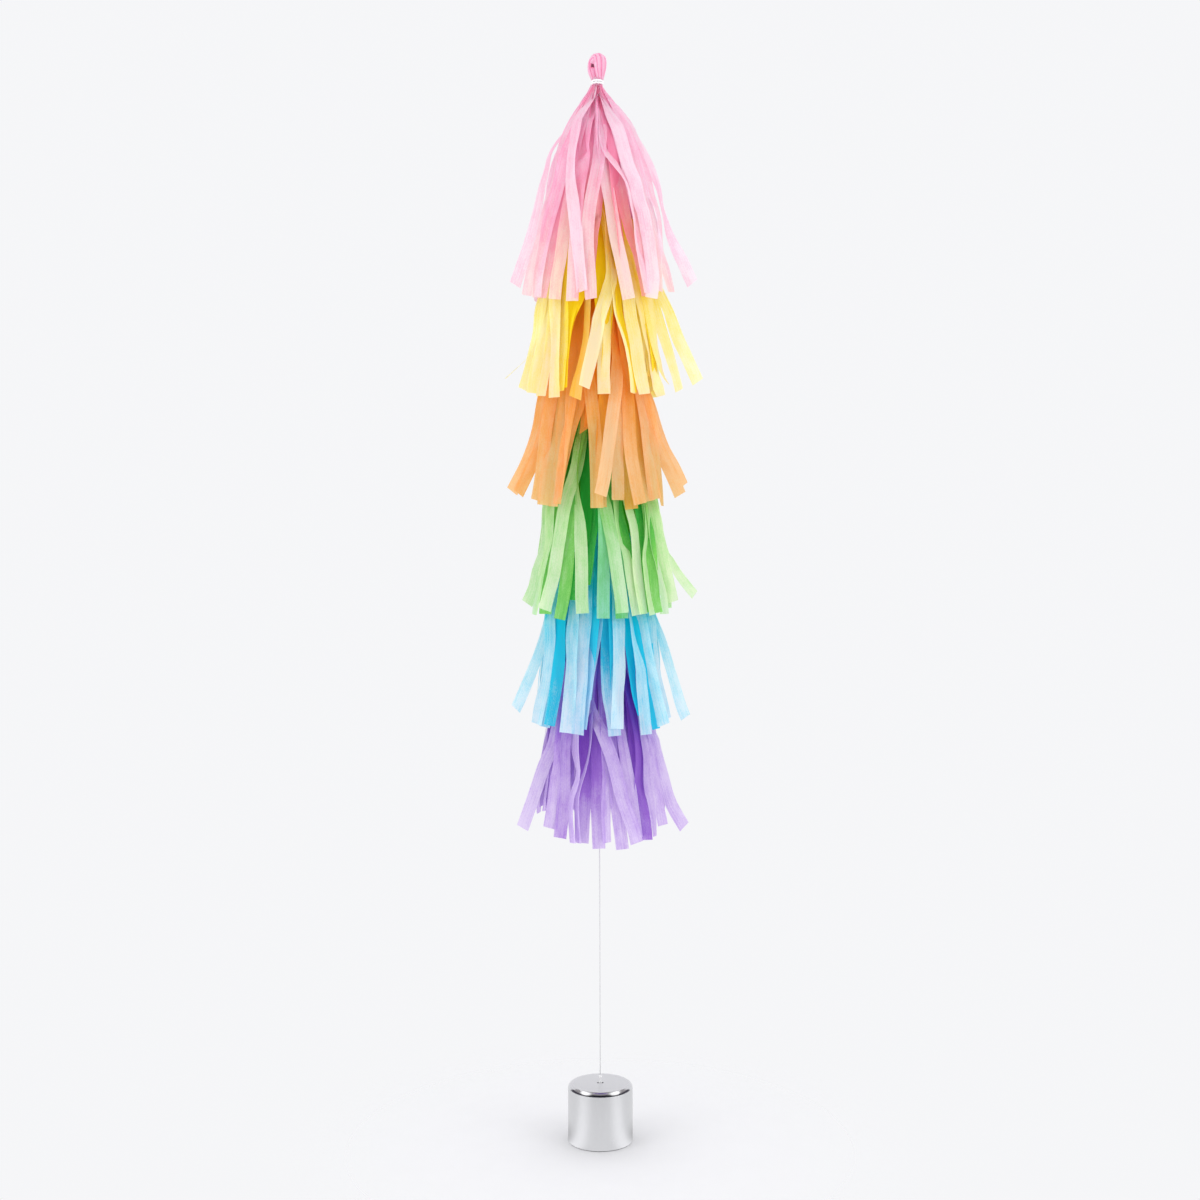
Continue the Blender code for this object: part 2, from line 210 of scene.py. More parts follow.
@dataclass(frozen=True)
class PhotoView:
    """The photograph's own viewpoint, level with the middle of the tail.

    Attributes:
        turn: How far round the axis the viewer stands, in radians.
        distance: From the viewer to the axis.
        level: Height of the picture's centre.
        focal: Focal length in picture pixels.
        middle: The picture's centre in pixels, both ways.
        side_step: How far the viewer stands to the right of the axis.
        lean: How far the picture's upright leans, in radians.
        film: Width of the camera's film, in millimetres.
    """

    turn: float = math.radians(65.0)
    distance: float = 1.407
    level: float = -0.5209
    focal: float = 1442.0
    middle: float = 600.0
    side_step: float = 0.00114
    lean: float = 0.00305
    film: float = 36.0

    @property
    def across(self) -> Vector:
        """The direction that runs to the right in the picture."""
        return Vector((math.cos(self.turn), math.sin(self.turn), 0.0))

    @property
    def toward(self) -> Vector:
        """The level direction from the axis to the viewer."""
        return Vector((math.sin(self.turn), -math.cos(self.turn), 0.0))

    def spot(self, px: float, py: float, nearer: float) -> Vector:
        """Find the point behind a pixel.

        Args:
            px: Pixel column.
            py: Pixel row.
            nearer: How far the point lies in front of the axis.

        Returns:
            The point in the part's frame.
        """
        depth = self.distance - nearer
        right = px - self.middle - (py - self.middle) * self.lean
        down = py - self.middle + (px - self.middle) * self.lean
        along = right * depth / self.focal + self.side_step
        height = self.level - down * depth / self.focal
        return self.across * along + self.toward * nearer + on_axis(height)

    def build_camera(self) -> None:
        """Make the camera that sees what the photograph shows."""
        data = bpy.data.cameras.new("photo_camera")
        data.sensor_width = self.film
        data.lens = self.film * self.focal / (2.0 * self.middle)
        camera = placed("photo_camera", data)
        camera.location = self.spot(self.middle, self.middle, self.distance)
        level_view = Matrix.Rotation(self.turn, 3, "Z") @ Matrix.Rotation(math.pi / 2.0, 3, "X")
        camera.rotation_euler = (level_view @ Matrix.Rotation(-self.lean, 3, "Z")).to_euler()
        bpy.context.scene.camera = camera
        LOG.info("camera: %.3f m from the axis", self.distance)


VIEW = PhotoView()


class Recipe:
    """A material being mixed from shader nodes."""

    def __init__(self, name: str) -> None:
        """Start an empty material.

        Args:
            name: The material's name.
        """
        self.material = bpy.data.materials.new(name)
        self.material.use_nodes = True
        self.tree = self.material.node_tree
        self.tree.nodes.clear()
        self.output = self.tree.nodes.new("ShaderNodeOutputMaterial")

    def node(self, kind: str, settings: dict | None = None, **sockets: object) -> bpy.types.Node:
        """Add one node.

        Args:
            kind: The node's type, without its ShaderNode prefix.
            settings: Properties to set on the node itself.
            sockets: Values or links, by a socket's name with spaces as underscores, or by i and its number.

        Returns:
            The new node.
        """
        made = self.tree.nodes.new("ShaderNode" + kind)
        for key, value in (settings or {}).items():
            setattr(made, key, value)
        for key, value in sockets.items():
            numbered = key[0] == "i" and key[1:].isdigit()
            socket = made.inputs[int(key[1:]) if numbered else key.replace("_", " ")]
            if isinstance(value, Socket):
                self.tree.links.new(value, socket)
            else:
                socket.default_value = value
        return made

    def math(self, operation: str, *values: object) -> Socket:
        """Return the result of one of Blender's calculations with one or two numbers or sockets."""
        named = {f"i{index}": value for index, value in enumerate(values)}
        return self.node("Math", {"operation": operation}, **named).outputs[0]

    def blend(self, factor: object, first: object, second: object, kind: str = "MIX") -> Socket:
        """Return two colours mixed, with a share of the second, in one of Blender's ways."""
        made = self.node("Mix", {"data_type": "RGBA", "blend_type": kind}, i0=factor, i6=first, i7=second)
        return made.outputs[2]

    def grain(self, where: Socket, scale: float | Point, detail: float = 3.0, rough: float = 0.55) -> Socket:
        """Add a noise.

        Args:
            where: The place it is read at.
            scale: Its fineness, or one fineness for each direction.
            detail: Its octaves.
            rough: Its roughness.

        Returns:
            The noise's value socket.
        """
        if isinstance(scale, tuple):
            where = self.node("Mapping", None, Vector=where, Scale=scale).outputs[0]
            scale = 1.0
        made = self.node("TexNoise", None, Vector=where, Scale=scale, Detail=detail, Roughness=rough)
        return made.outputs[0]

    def spread(self, value: object, low: float, high: float, to_low: float, to_high: float) -> Socket:
        """Return a value mapped from one range to another, smoothly and held at its ends."""
        smooth = {"interpolation_type": "SMOOTHSTEP"}
        return self.node("MapRange", smooth, i0=value, i1=low, i2=high, i3=to_low, i4=to_high).outputs[0]

    def held(self, value: Socket) -> Socket:
        """Return a value held between 0 and 1."""
        return self.node("Clamp", None, i0=value, i1=0.0, i2=1.0).outputs[0]

    def relief(self, height: Socket, strength: float, depth: float, **onto: Socket) -> Socket:
        """Return the normal of fine relief that stands so high, on top of another Normal if one is given."""
        return self.node("Bump", None, Height=height, Strength=strength, Distance=depth, **onto).outputs[0]

    def mark(self, name: str) -> Socket:
        """Return a value that the mesh holds for each point."""
        return self.node("Attribute", {"attribute_name": name}).outputs["Fac"]

    def place(self) -> Socket:
        """Return the place in the piece's own frame."""
        return self.node("TexCoord").outputs["Object"]

    def close(self, shader: Socket) -> Material:
        """Join the finished surface to the output, and return the material."""
        self.tree.links.new(shader, self.output.inputs["Surface"])
        return self.material


def rgba(colour: Colour, share: float = 1.0) -> tuple[float, float, float, float]:
    """Return a colour with its alpha, each channel times a share."""
    return (colour[0] * share, colour[1] * share, colour[2] * share, 1.0)


@dataclass(frozen=True)
class Tissue:
    """Thin dyed tissue that lets about half of the light through.

    Attributes:
        name: The material's name.
        single: What one ply keeps of the light, in linear colour.
        stacked: What several plies that cling together keep.
        pocket: Painted colour of the shade deep inside the folds.
        behind: Painted tint of the next tassel's light, shining through where it hangs close behind.
        passing_deep: Share of the light that goes through the folds deep inside.
        passing: Share that goes through a single ply.
        passing_stack: Share that goes through a stack of plies.
        eye_shade: Share of the pocket's colour left where shade is painted inside the head's eye.
        fibres: Fineness of its fibres across, along and through the sheet.
        clouds: The same of its clouds.
        streaks: The same of the long streaks in it.
        creases: The same of its creases.
    """

    name: str
    single: Colour
    stacked: Colour
    pocket: Colour
    behind: Colour
    passing_deep: float = 0.56
    passing: float = 0.50
    passing_stack: float = 0.56
    eye_shade: float = 0.22
    fibres: Point = (1500.0, 480.0, 1.0)
    clouds: Point = (170.0, 60.0, 1.0)
    streaks: Point = (820.0, 11.0, 1.0)
    creases: Point = (190.0, 26.0, 1.0)

    def build(self) -> Material:
        """Mix the tissue by its tone: 0 for one ply, 1 for a stack, 2 for painted shade deep in the folds.

        Returns:
            The material.
        """
        mix = Recipe(self.name)
        paper = mix.node("UVMap").outputs[0]
        fibres = mix.grain(paper, self.fibres, 4.0, 0.7)
        speckle = mix.spread(fibres, 0.36, 0.64, -0.10, 0.16)
        drift = mix.spread(mix.grain(paper, self.clouds, 2.0, 0.5), 0.36, 0.64, -0.08, 0.12)
        streaks = mix.spread(mix.grain(paper, self.streaks, 3.0, 0.6), 0.44, 0.62, -0.05, 0.15)
        ply_and_shade_tone = mix.math("ADD", mix.math("ADD", mix.mark("tone"), streaks), mix.math("ADD", speckle, drift))
        colour = mix.blend(mix.held(ply_and_shade_tone), rgba(self.single), rgba(self.stacked))
        # Above 1 the tone turns to the pocket colour, which is painted shade deep in the folds.
        colour = mix.blend(mix.held(mix.math("SUBTRACT", ply_and_shade_tone, 1.0)), colour, rgba(self.pocket))
        # Painted shade: from a tone of 2.7 the colour darkens to a share of the pocket colour, inside the
        # head's eye.
        colour = mix.blend(mix.spread(ply_and_shade_tone, 2.7, 3.3, 0.0, 1.0), colour, rgba(self.pocket, self.eye_shade))
        # Painted light: the tint of the next tassel's light, shining through from behind.
        colour = mix.blend(mix.mark("under"), colour, rgba(self.behind), "MULTIPLY")
        weave = mix.relief(fibres, 0.22, 0.12 * MM)
        creased = mix.relief(mix.grain(paper, self.creases, 3.0, 0.5), 0.6, 0.9 * MM, Normal=weave)
        front = mix.node(
            "BsdfPrincipled", None, Base_Color=colour, Normal=creased, Roughness=0.82,
            Specular_IOR_Level=0.18,
        ).outputs[0]
        through = mix.node("BsdfTranslucent", None, Color=colour, Normal=creased).outputs[0]
        opening = mix.spread(ply_and_shade_tone, 0.3, 1.1, self.passing, self.passing_stack)
        closing = mix.spread(ply_and_shade_tone, 1.2, 1.9, 0.0, self.passing_stack - self.passing_deep)
        share = mix.math("SUBTRACT", opening, closing)
        return mix.close(mix.node("MixShader", None, i0=share, i1=front, i2=through).outputs[0])


@dataclass(frozen=True)
class Yarn:
    """Soft white cord with a fine twist.

    Attributes:
        name: The material's name.
        tint: Its colour.
        twist: Turns of its strands for each metre.
        fuzz: Fineness of its loose fibres.
        relief: How high its strands stand.
    """

    name: str
    tint: Colour
    twist: float = 420.0
    fuzz: float = 2600.0
    relief: float = 0.12 * MM

    def build(self) -> Material:
        """Mix the cord.

        Returns:
            The material.
        """
        mix = Recipe(self.name)
        place = mix.place()
        strands = mix.node(
            "TexWave", {"wave_type": "BANDS", "bands_direction": "DIAGONAL"},
            Vector=place, Scale=self.twist, Distortion=0.6, Detail=1.0,
        ).outputs[1]
        fuzz = mix.grain(place, self.fuzz, 4.0, 0.7)
        colour = mix.blend(mix.math("MULTIPLY", fuzz, 0.35), rgba(self.tint), rgba(self.tint, 0.8))
        colour = mix.blend(mix.math("MULTIPLY", strands, 0.12), colour, rgba(self.tint, 0.6))
        height = mix.math("ADD", strands, mix.math("MULTIPLY", fuzz, 0.6))
        shader = mix.node(
            "BsdfPrincipled", None, Base_Color=colour, Normal=mix.relief(height, 0.6, self.relief),
            Roughness=0.7, Specular_IOR_Level=0.3, Sheen_Weight=0.25,
        )
        return mix.close(shader.outputs[0])


class Polish(Enum):
    """How the weight's silver is finished."""

    SATIN = "satin_silver"
    BRIGHT = "polished_silver"
    # The shell's inside, painted near-black for the shade in its holes.
    INSIDE = "raw_silver"


@dataclass(frozen=True)
class Silver:
    """Drawn sheet metal with a silver finish.

    Attributes:
        polish: Which finish.
        tint: The metal's colour.
        roughness: How much it blurs what it reflects.
        relief: Height of the fine drawing marks.
        marks: Fineness of those marks, round and up.
        clouds: Fineness of its faint clouds.
    """

    polish: Polish
    tint: Colour
    roughness: float
    relief: float = 0.02 * MM
    marks: Point = (900.0, 900.0, 120.0)
    clouds: float = 70.0

    def build(self) -> Material:
        """Mix the metal.

        Returns:
            The material.
        """
        mix = Recipe(self.polish.value)
        place = mix.place()
        drawn = mix.grain(place, self.marks, 4.0, 0.6)
        clouds = mix.math("MULTIPLY", mix.grain(place, self.clouds, 2.0), 0.5)
        shader = mix.node(
            "BsdfPrincipled", None, Base_Color=mix.blend(clouds, rgba(self.tint), rgba(self.tint, 0.93)),
            Roughness=mix.spread(drawn, 0.25, 0.75, self.roughness * 0.85, self.roughness * 1.15),
            Metallic=1.0, Normal=mix.relief(drawn, 0.25, self.relief),
        )
        return mix.close(shader.outputs[0])


@dataclass(frozen=True)
class Plain:
    """A dull solid with a fine grain, for parts that hardly show.

    Attributes:
        name: The material's name.
        tint: Its colour.
        roughness: How dull it is.
        scale: Fineness of its grain.
        relief: How high its grain stands.
    """

    name: str
    tint: Colour
    roughness: float
    scale: float
    relief: float = 0.2 * MM

    def build(self) -> Material:
        """Mix the solid.

        Returns:
            The material.
        """
        mix = Recipe(self.name)
        grains = mix.grain(mix.place(), self.scale, 5.0, 0.65)
        colour = mix.blend(grains, rgba(self.tint, 0.75), rgba(self.tint, 1.25))
        bump = mix.relief(grains, 0.4, self.relief)
        shader = mix.node("BsdfPrincipled", None, Base_Color=colour, Roughness=self.roughness, Normal=bump)
        return mix.close(shader.outputs[0])


# The long cord is the same white cord as the thread, painted greyer for the shade along the thin cord.
SHADED_CORD = Yarn("white_cord", (0.645, 0.645, 0.655))
THREAD = Yarn("white_thread", (0.90, 0.90, 0.91))
SATIN = Silver(Polish.SATIN, (0.81, 0.81, 0.83), 0.32, relief=0.004 * MM)
BRIGHT = Silver(Polish.BRIGHT, (0.77, 0.77, 0.79), 0.17, relief=0.002 * MM)
# The shell's inside and the filling are near-black, which paints the shade that fills the two holes.
INSIDE = Silver(Polish.INSIDE, (0.05, 0.05, 0.055), 0.6)
CAST = Plain("cast_filling", (0.10, 0.10, 0.11), 0.75, 900.0)
# The base disc is a real part, and its near-black colour paints the dark shadow line in the gap along the
# foot.
BASE_SHADE = Plain("base_pad", (0.035, 0.035, 0.04), 0.85, 1400.0)


class Sheaf:
    """A mesh that gathers ribbons, with a tone and a flat place for each point.

    Attributes:
        columns: Faces across a ribbon.
        flat_half: Half of a ribbon's width on the flat sheet.
        gathered: Where along a strip its edges' denser tone and painted shade start to fade, and where it
            ends.
    """

    columns: int = 4
    flat_half: float = 0.006
    gathered: tuple[float, float] = (0.006, 0.055)

    def __init__(self, name: str) -> None:
        """Start an empty mesh.

        Args:
            name: The piece's name.
        """
        self.name = name
        self.points: list[Vector] = []
        self.faces: list[tuple[int, ...]] = []
        self.flat: list[tuple[float, float]] = []
        self.tones: list[float] = []
        self.painted_glows: list[float] = []
        self.area = 0.0

    def add_ribbon(
        self, line: list[Vector], sides: list[Vector], widths: list[float], bows: list[float],
        tones: list[float], painted_glows: list[float], lean: float, shift: float, slant: float,
    ) -> None:
        """Add one strip.

        Args:
            line: Its centreline.
            sides: The direction across it at each point.
            widths: Its width at each point.
            bows: How far its middle stands proud at each point.
            tones: Its tone at each point, 0 for one ply, 1 for a stack, 2 for painted shade deep in a fold.
            painted_glows: How much painted glow of the next tassel, seen through from behind, shows at each
                point.
            lean: How much denser its second edge looks than its middle, a painted shade across the strip.
            shift: Where it was cut from the sheet, for the grain.
            slant: How far one corner of its cut end hangs below the other.
        """
        first = len(self.points)
        row = self.columns + 1
        along = 0.0
        for index, middle in enumerate(line):
            if index:
                along += (middle - line[index - 1]).length
            ahead = heading(line, index)
            proud = sides[index].cross(ahead)
            last = index == len(line) - 1
            gathered = 1.0 - eased(along, *self.gathered)
            for column in range(row):
                share = column / self.columns * 2.0 - 1.0
                point = middle + sides[index] * (share * widths[index] / 2.0)
                point += proud * (bows[index] * (1.0 - share * share))
                if last:
                    point += ahead * (slant * share / 2.0)
                self.points.append(point)
                self.flat.append((shift + share * self.flat_half, along))
                # Near the neck the edges get a denser tone: partly overlapping plies, partly painted shade in
                # the slits between them.
                self.tones.append(tones[index] + lean * share + gathered * (0.9 * share * share - 0.1))
                self.painted_glows.append(painted_glows[index])
        for index in range(len(line) - 1):
            for column in range(self.columns):
                corner = first + index * row + column
                self.faces.append((corner, corner + 1, corner + row + 1, corner + row))

    def build(self) -> Piece:
        """Make the mesh.

        Returns:
            The piece, with no parent.
        """
        mesh = bpy.data.meshes.new(self.name)
        mesh.from_pydata([tuple(point) for point in self.points], [], self.faces)
        marked(mesh, "tone", self.tones)
        marked(mesh, "under", self.painted_glows)
        flat = mesh.uv_layers.new(name="UVMap")
        for loop in mesh.loops:
            flat.data[loop.index].uv = self.flat[loop.vertex_index]
        smoothed(mesh)
        mesh.update()
        self.area = sum(face.area for face in mesh.polygons)
        return placed(self.name, mesh)


@dataclass(frozen=True)
class Strip:
    """One strip traced in the photograph, from its top to its cut end.

    Attributes:
        lift: How far it lies in front of the fringe's own surface, in millimetres.
        tone: How dense it looks, 0 for one ply, 1 for a stack, 2 for painted shade deep in a pocket.
        path: Pixel column and pixel row of each traced point, and the width seen there in pixels where it
            isn't the full width.
        slant: How far its right corner hangs below its left one, in millimetres.
        fade: How much less dense its lower end looks.
        under: How much painted glow from the next tassel behind its lower part takes.
    """

    lift: float
    tone: float
    path: tuple[Point, ...] = ()
    slant: float = 0.0
    fade: float = 0.0
    under: float = 0.0


@dataclass
class Fringe:
    """The hanging strips of one tassel.

    Attributes:
        colour: The tassel's colour name.
        tie: Height of the thread round its neck.
        tissue: Its finish.
        traced: The strips seen in the photograph.
        upper_density_and_hem_shade: How much denser it looks near the neck than at the ends: gathered plies,
            and painted shade under a hem.
        full_seen: Width in pixels of a strip that lies flat in the photograph.
        lead_drops: Drops below the tie of the points that lead to a traced strip's first one.
        lead_gap: From the last of them to that first one, at least.
        spare_drops: Drops of the points of a strip at the back, above its end.
        spare_rows: Layers of strips at the back, which the photograph doesn't show.
        spare_in_row: How many strips stand in each of them, were it a full round.
        spare_from: How far round from the viewer each of those layers begins, in degrees.
        shorter: How much shorter than the longest strips they are, and how much more at the sides, and more
            in each further layer.
        side_share: How near the axis they hang at the sides, as a share of the radius.
        turn_length: Drop over which a strip that turns over does so.
        smoothings: How often the depths of a traced strip are evened out.
        edge_share: How far out a traced strip may lie, as a share of the radius.
        roundness: How square the round of the traced strips is.
        strip_width: Width of a cut strip.
        pinched: Share of that width which is left at the neck.
        fold: How far a strip is folded just below the neck.
        ripple: How far it ripples in and out.
        drop: From the tie to the longest ends.
        skirt: Radius that the flare comes near.
        swell: Drop over which it flares.
        power: How fast it flares.
        neck: Radius of the bundle under the thread.
        steps: Points along a strip.
    """

    colour: str
    tie: float
    tissue: Tissue
    traced: tuple[Strip, ...]
    upper_density_and_hem_shade: float
    full_seen: float = 12.3
    lead_drops: Point = (-0.0018, 0.003, 0.010, 0.020, 0.034, 0.050, 0.068, 0.088, 0.110)
    lead_gap: float = 0.010
    spare_drops: Point = (-0.0018, 0.003, 0.010, 0.020, 0.034, 0.050, 0.070, 0.095, 0.125, 0.16, 0.195)
    spare_rows: tuple[float, ...] = (1.0, 0.93, 0.87)
    spare_in_row: int = 26
    spare_from: tuple[float, ...] = (92.0, 76.0, 60.0)
    shorter: tuple[float, float, float] = (0.010, 0.013, 0.002)
    side_share: float = 0.86
    turn_length: float = 0.022
    smoothings: int = 3
    edge_share: float = 1.12
    roundness: float = 2.4
    strip_width: float = 0.012
    pinched: float = 0.22
    fold: float = 1.6 * MM
    ripple: float = 0.5 * MM
    drop: float = 0.231
    skirt: float = 0.074
    swell: float = 0.0843
    power: float = 1.04
    neck: float = 0.0041
    steps: int = 30

    def radius(self, drop: float) -> float:
        """Return how far the outer strips stand from the axis at a drop below the tie."""
        if drop <= 0.0:
            return self.neck
        return max(self.neck, self.skirt * (1.0 - math.exp(-((drop / self.swell) ** self.power))))

    def openness(self, drop: float) -> float:
        """Return the share of a strip's width at a drop: gathered at the neck, full below."""
        return self.pinched + (1.0 - self.pinched) * eased(drop, 0.004, 0.044)

    def depths(self, strip: Strip) -> list[float]:
        """Work out how far each point of a traced strip lies in front of the axis.

        Args:
            strip: What was traced.

        Returns:
            The depths, evened out along the strip.
        """
        depths: list[float] = []
        for px, py, *_ in strip.path:
            along = (px - VIEW.middle) * VIEW.distance / VIEW.focal + VIEW.side_step
            drop = self.tie - (VIEW.level - (py - VIEW.middle) * VIEW.distance / VIEW.focal)
            reach = self.radius(drop)
            share = min(1.0, abs(along) / (reach * self.edge_share))
            lift = strip.lift * MM * eased(drop, 0.0, 0.03)
            depths.append(reach * math.sqrt(max(0.0, 1.0 - share ** self.roundness)) + lift)
        for _ in range(self.smoothings):
            inner = [(a + 2.0 * b + c) / 4.0 for a, b, c in zip(depths, depths[1:], depths[2:])]
            depths = [depths[0], *inner, depths[-1] * 0.6 + inner[-1] * 0.4]
        return depths

    def add_traced(self, sheaf: Sheaf, strip: Strip, number: int) -> None:
        """Add a strip that the photograph shows.

        Args:
            sheaf: The mesh that takes it.
            strip: What was traced.
            number: Its place in the tassel, which sets its grain.
        """
        wide = self.strip_width * VIEW.focal / VIEW.distance
        knots: list[Point] = []
        for point, nearer in zip(strip.path, self.depths(strip)):
            px, py, seen = (*point, self.full_seen)[:3]
            spot = VIEW.spot(px, py, nearer)
            flat_on = max(0.06, min(1.0, seen / (wide * self.openness(self.tie - spot.z))))
            knots.append((*spot, math.acos(flat_on)))
        top = Vector((knots[0][0], knots[0][1], 0.0))
        first_drop = self.tie - knots[0][2]
        azimuth = math.atan2(top.dot(VIEW.across), top.dot(VIEW.toward))
        own = top.length / self.radius(first_drop)
        lead: list[Point] = []
        for drop in self.lead_drops:
            if drop > first_drop - self.lead_gap:
                break
            reach = max(self.neck * 0.95, self.radius(drop) * own)
            flat = top.normalized() * reach
            share = drop / first_drop
            turned = min(1.45, abs(azimuth) * 0.9) * (1.0 - share) + knots[0][3] * share
            lead.append((flat.x, flat.y, self.tie - drop, turned))
        spots = through_points(lead + knots, self.steps)
        line = [Vector(spot[:3]) for spot in spots]
        sides = []
        for index, spot in enumerate(spots):
            ahead = heading(line, index)
            flat_on = VIEW.toward.cross(ahead).normalized()
            if flat_on.dot(VIEW.across) < 0.0:
                flat_on.negate()
            away = flat_on.cross(ahead).normalized()
            if away.dot(VIEW.toward) > 0.0:
                away.negate()
            sign = 1.0 if line[index].dot(VIEW.across) >= 0.0 else -1.0
            sides.append((flat_on * math.cos(spot[3]) + away * (sign * math.sin(spot[3]))).normalized())
        self.add_line(sheaf, line, sides, strip, number)

    def add_line(
        self, sheaf: Sheaf, line: list[Vector], sides: list[Vector], strip: Strip, number: int,
    ) -> None:
        """Give a centreline its width and bow, and add it to the mesh.

        Args:
            sheaf: The mesh that takes it.
            line: The centreline.
            sides: The direction across the strip at each point.
            strip: What else is known of it.
            number: Its place in the tassel.
        """
        chance = random.Random(f"{self.colour} bow {number}")
        phase = chance.uniform(0.0, math.tau)
        deep = chance.uniform(0.4, 1.0) * MM * chance.choice((-1.0, 1.0, 1.0))
        # Painted shade: one edge of the strip is denser than the other.
        lean = chance.uniform(-0.16, 0.16)
        widths = []
        bows = []
        tones = []
        painted_glows = []
        for index, spot in enumerate(line):
            drop = self.tie - spot.z
            widths.append(self.strip_width * self.openness(drop))
            # The upper part of each strip gets a denser tone, which under the hem of the tassel above is
            # painted shade.
            upper = self.upper_density_and_hem_shade * (1.0 - eased(drop, 0.03, 0.19))
            lower = strip.fade * eased(drop, 0.13, 0.22)
            # The sine term paints soft shading along the strip.
            tones.append(strip.tone + upper - lower + 0.10 * math.sin(phase * 3.0 + drop * 38.0))
            painted_glows.append(strip.under * eased(drop, 0.07, 0.16))
            fold = self.fold * eased(drop, 0.0, 0.008) * (1.0 - eased(drop, 0.012, 0.06))
            bows.append(fold + deep * math.sin(phase + drop * 45.0))
            ripple = self.ripple * math.sin(phase * 2.0 + drop * 70.0) * eased(drop, 0.02, 0.08)
            line[index] = spot + Vector((spot.x, spot.y, 0.0)).normalized() * ripple
        sheaf.add_ribbon(line, sides, widths, bows, tones, painted_glows, lean, number * 0.0137, strip.slant * MM)

    def add_spare(self, sheaf: Sheaf, row: int, number: int, azimuth: float) -> None:
        """Add a strip at the back.

        Args:
            sheaf: The mesh that takes it.
            row: Its layer.
            number: Its place in the tassel.
            azimuth: Its direction from the axis, from the viewer's side.
        """
        chance = random.Random(f"{self.colour} spare {row} {number}")
        drift = chance.uniform(-0.13, 0.13)
        sway = chance.uniform(-0.10, 0.10)
        sideways = max(0.0, 1.0 - (abs(azimuth) - math.radians(80.0)) / math.radians(60.0))
        for_all, for_sides, for_row = self.shorter
        length = self.drop - for_all - for_sides * sideways - chance.uniform(0.0, 0.008) - for_row * row
        share = self.spare_rows[row] * (1.0 - (1.0 - self.side_share) * min(1.0, sideways))
        twist = chance.uniform(-0.35, 0.35)
        turn_at = chance.uniform(0.07, 0.2)
        late = chance.choice((0.0, 0.0, 0.0, 1.0)) * chance.choice(SIDES) * chance.uniform(0.6, 1.3)
        knots: list[Point] = []
        for drop in (*self.spare_drops, length):
            down = drop / self.drop
            angle = azimuth + drift * down + sway * math.sin(down * 4.0)
            reach = max(self.neck * (1.0 - 0.12 * row), self.radius(drop) * share)
            reach += chance.uniform(-0.0012, 0.0012) * eased(drop, 0.03, 0.1)
            out = VIEW.toward * math.cos(angle) + VIEW.across * math.sin(angle)
            turned = twist * eased(drop, 0.02, 0.12)
            turned += late * math.exp(-(((drop - turn_at) / self.turn_length) ** 2))
            knots.append((out.x * reach, out.y * reach, self.tie - drop, turned))
        spots = through_points(knots, self.steps)
        line = [Vector(spot[:3]) for spot in spots]
        sides = []
        for index, spot in enumerate(spots):
            ahead = heading(line, index)
            level = on_axis(1.0).cross(Vector((spot[0], spot[1], 0.0)).normalized())
            level = (level - ahead * level.dot(ahead)).normalized()
            sides.append(Matrix.Rotation(spot[3], 3, ahead) @ level)
        # Strips in layers further inside get a denser tone, painted shade for lying deeper in the fringe.
        tone = 0.3 + 0.15 * row + chance.uniform(-0.12, 0.12)
        strip = Strip(0.0, tone, slant=chance.uniform(-1.0, 1.0))
        self.add_line(sheaf, line, sides, strip, 100 * (row + 1) + number)

    def build(self) -> Piece:
        """Make the fringe, one mesh of strips cut from one sheet.

        Returns:
            The piece, dressed, with no parent.
        """
        sheaf = Sheaf(f"{self.colour}_strips")
        for number, strip in enumerate(self.traced):
            self.add_traced(sheaf, strip, number)
        count = len(self.traced)
        chance = random.Random(f"{self.colour} round")
        for row, hidden_from in enumerate(self.spare_from):
            start = chance.random()
            for number in range(self.spare_in_row):
                share = (number + start + chance.uniform(-0.2, 0.2)) / self.spare_in_row
                azimuth = math.tau * share - math.pi
                if abs(azimuth) < math.radians(hidden_from):
                    continue
                self.add_spare(sheaf, row, number, azimuth)
                count += 1
        piece = sheaf.build()
        piece.data.materials.append(self.tissue.build())
        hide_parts(f"{self.colour}_fringe_outer", f"{self.colour}_fringe_inner")
        LOG.info("%s fringe: %d strips, %.3f square metres", self.colour, count, sheaf.area)
        return piece


def swept(
    name: str, centres: list[Vector], frames: list[tuple[Vector, Vector]], rings: list[list[Point]],
) -> Piece:
    """Join rings of points along a line into one tube of tissue.

    Args:
        name: The piece's name.
        centres: The line's points.
        frames: The two directions of the section at each point.
        rings: The section's points at each centre, in those directions, with how deep each lies in a crease.

    Returns:
        The piece, with no parent.
    """
    mesh = bpy.data.meshes.new(name)
    points = []
    for centre, (first, second), ring in zip(centres, frames, rings):
        points += [tuple(centre + first * a + second * b) for a, b, _ in ring]
    size = len(rings[0])
    faces = []
    for index in range(len(rings) - 1):
        here = index * size
        there = here + size
        for step in range(size):
            ahead = (step + 1) % size
            faces.append((here + step, here + ahead, there + ahead, there + step))
    faces.append(tuple(reversed(range(size))))
    faces.append(tuple(range((len(rings) - 1) * size, len(rings) * size)))
    mesh.from_pydata(points, [], faces)
    flat = mesh.uv_layers.new(name="UVMap")
    for loop in mesh.loops:
        row, column = divmod(loop.vertex_index, size)
        flat.data[loop.index].uv = (column / size * 0.03, row * 0.0012)
    # Painted shade: points deeper in a crease get a denser tone.
    marked(mesh, "tone", [0.15 + 0.85 * deep for ring in rings for *_, deep in ring])
    smoothed(mesh)
    mesh.update()
    return placed(name, mesh)


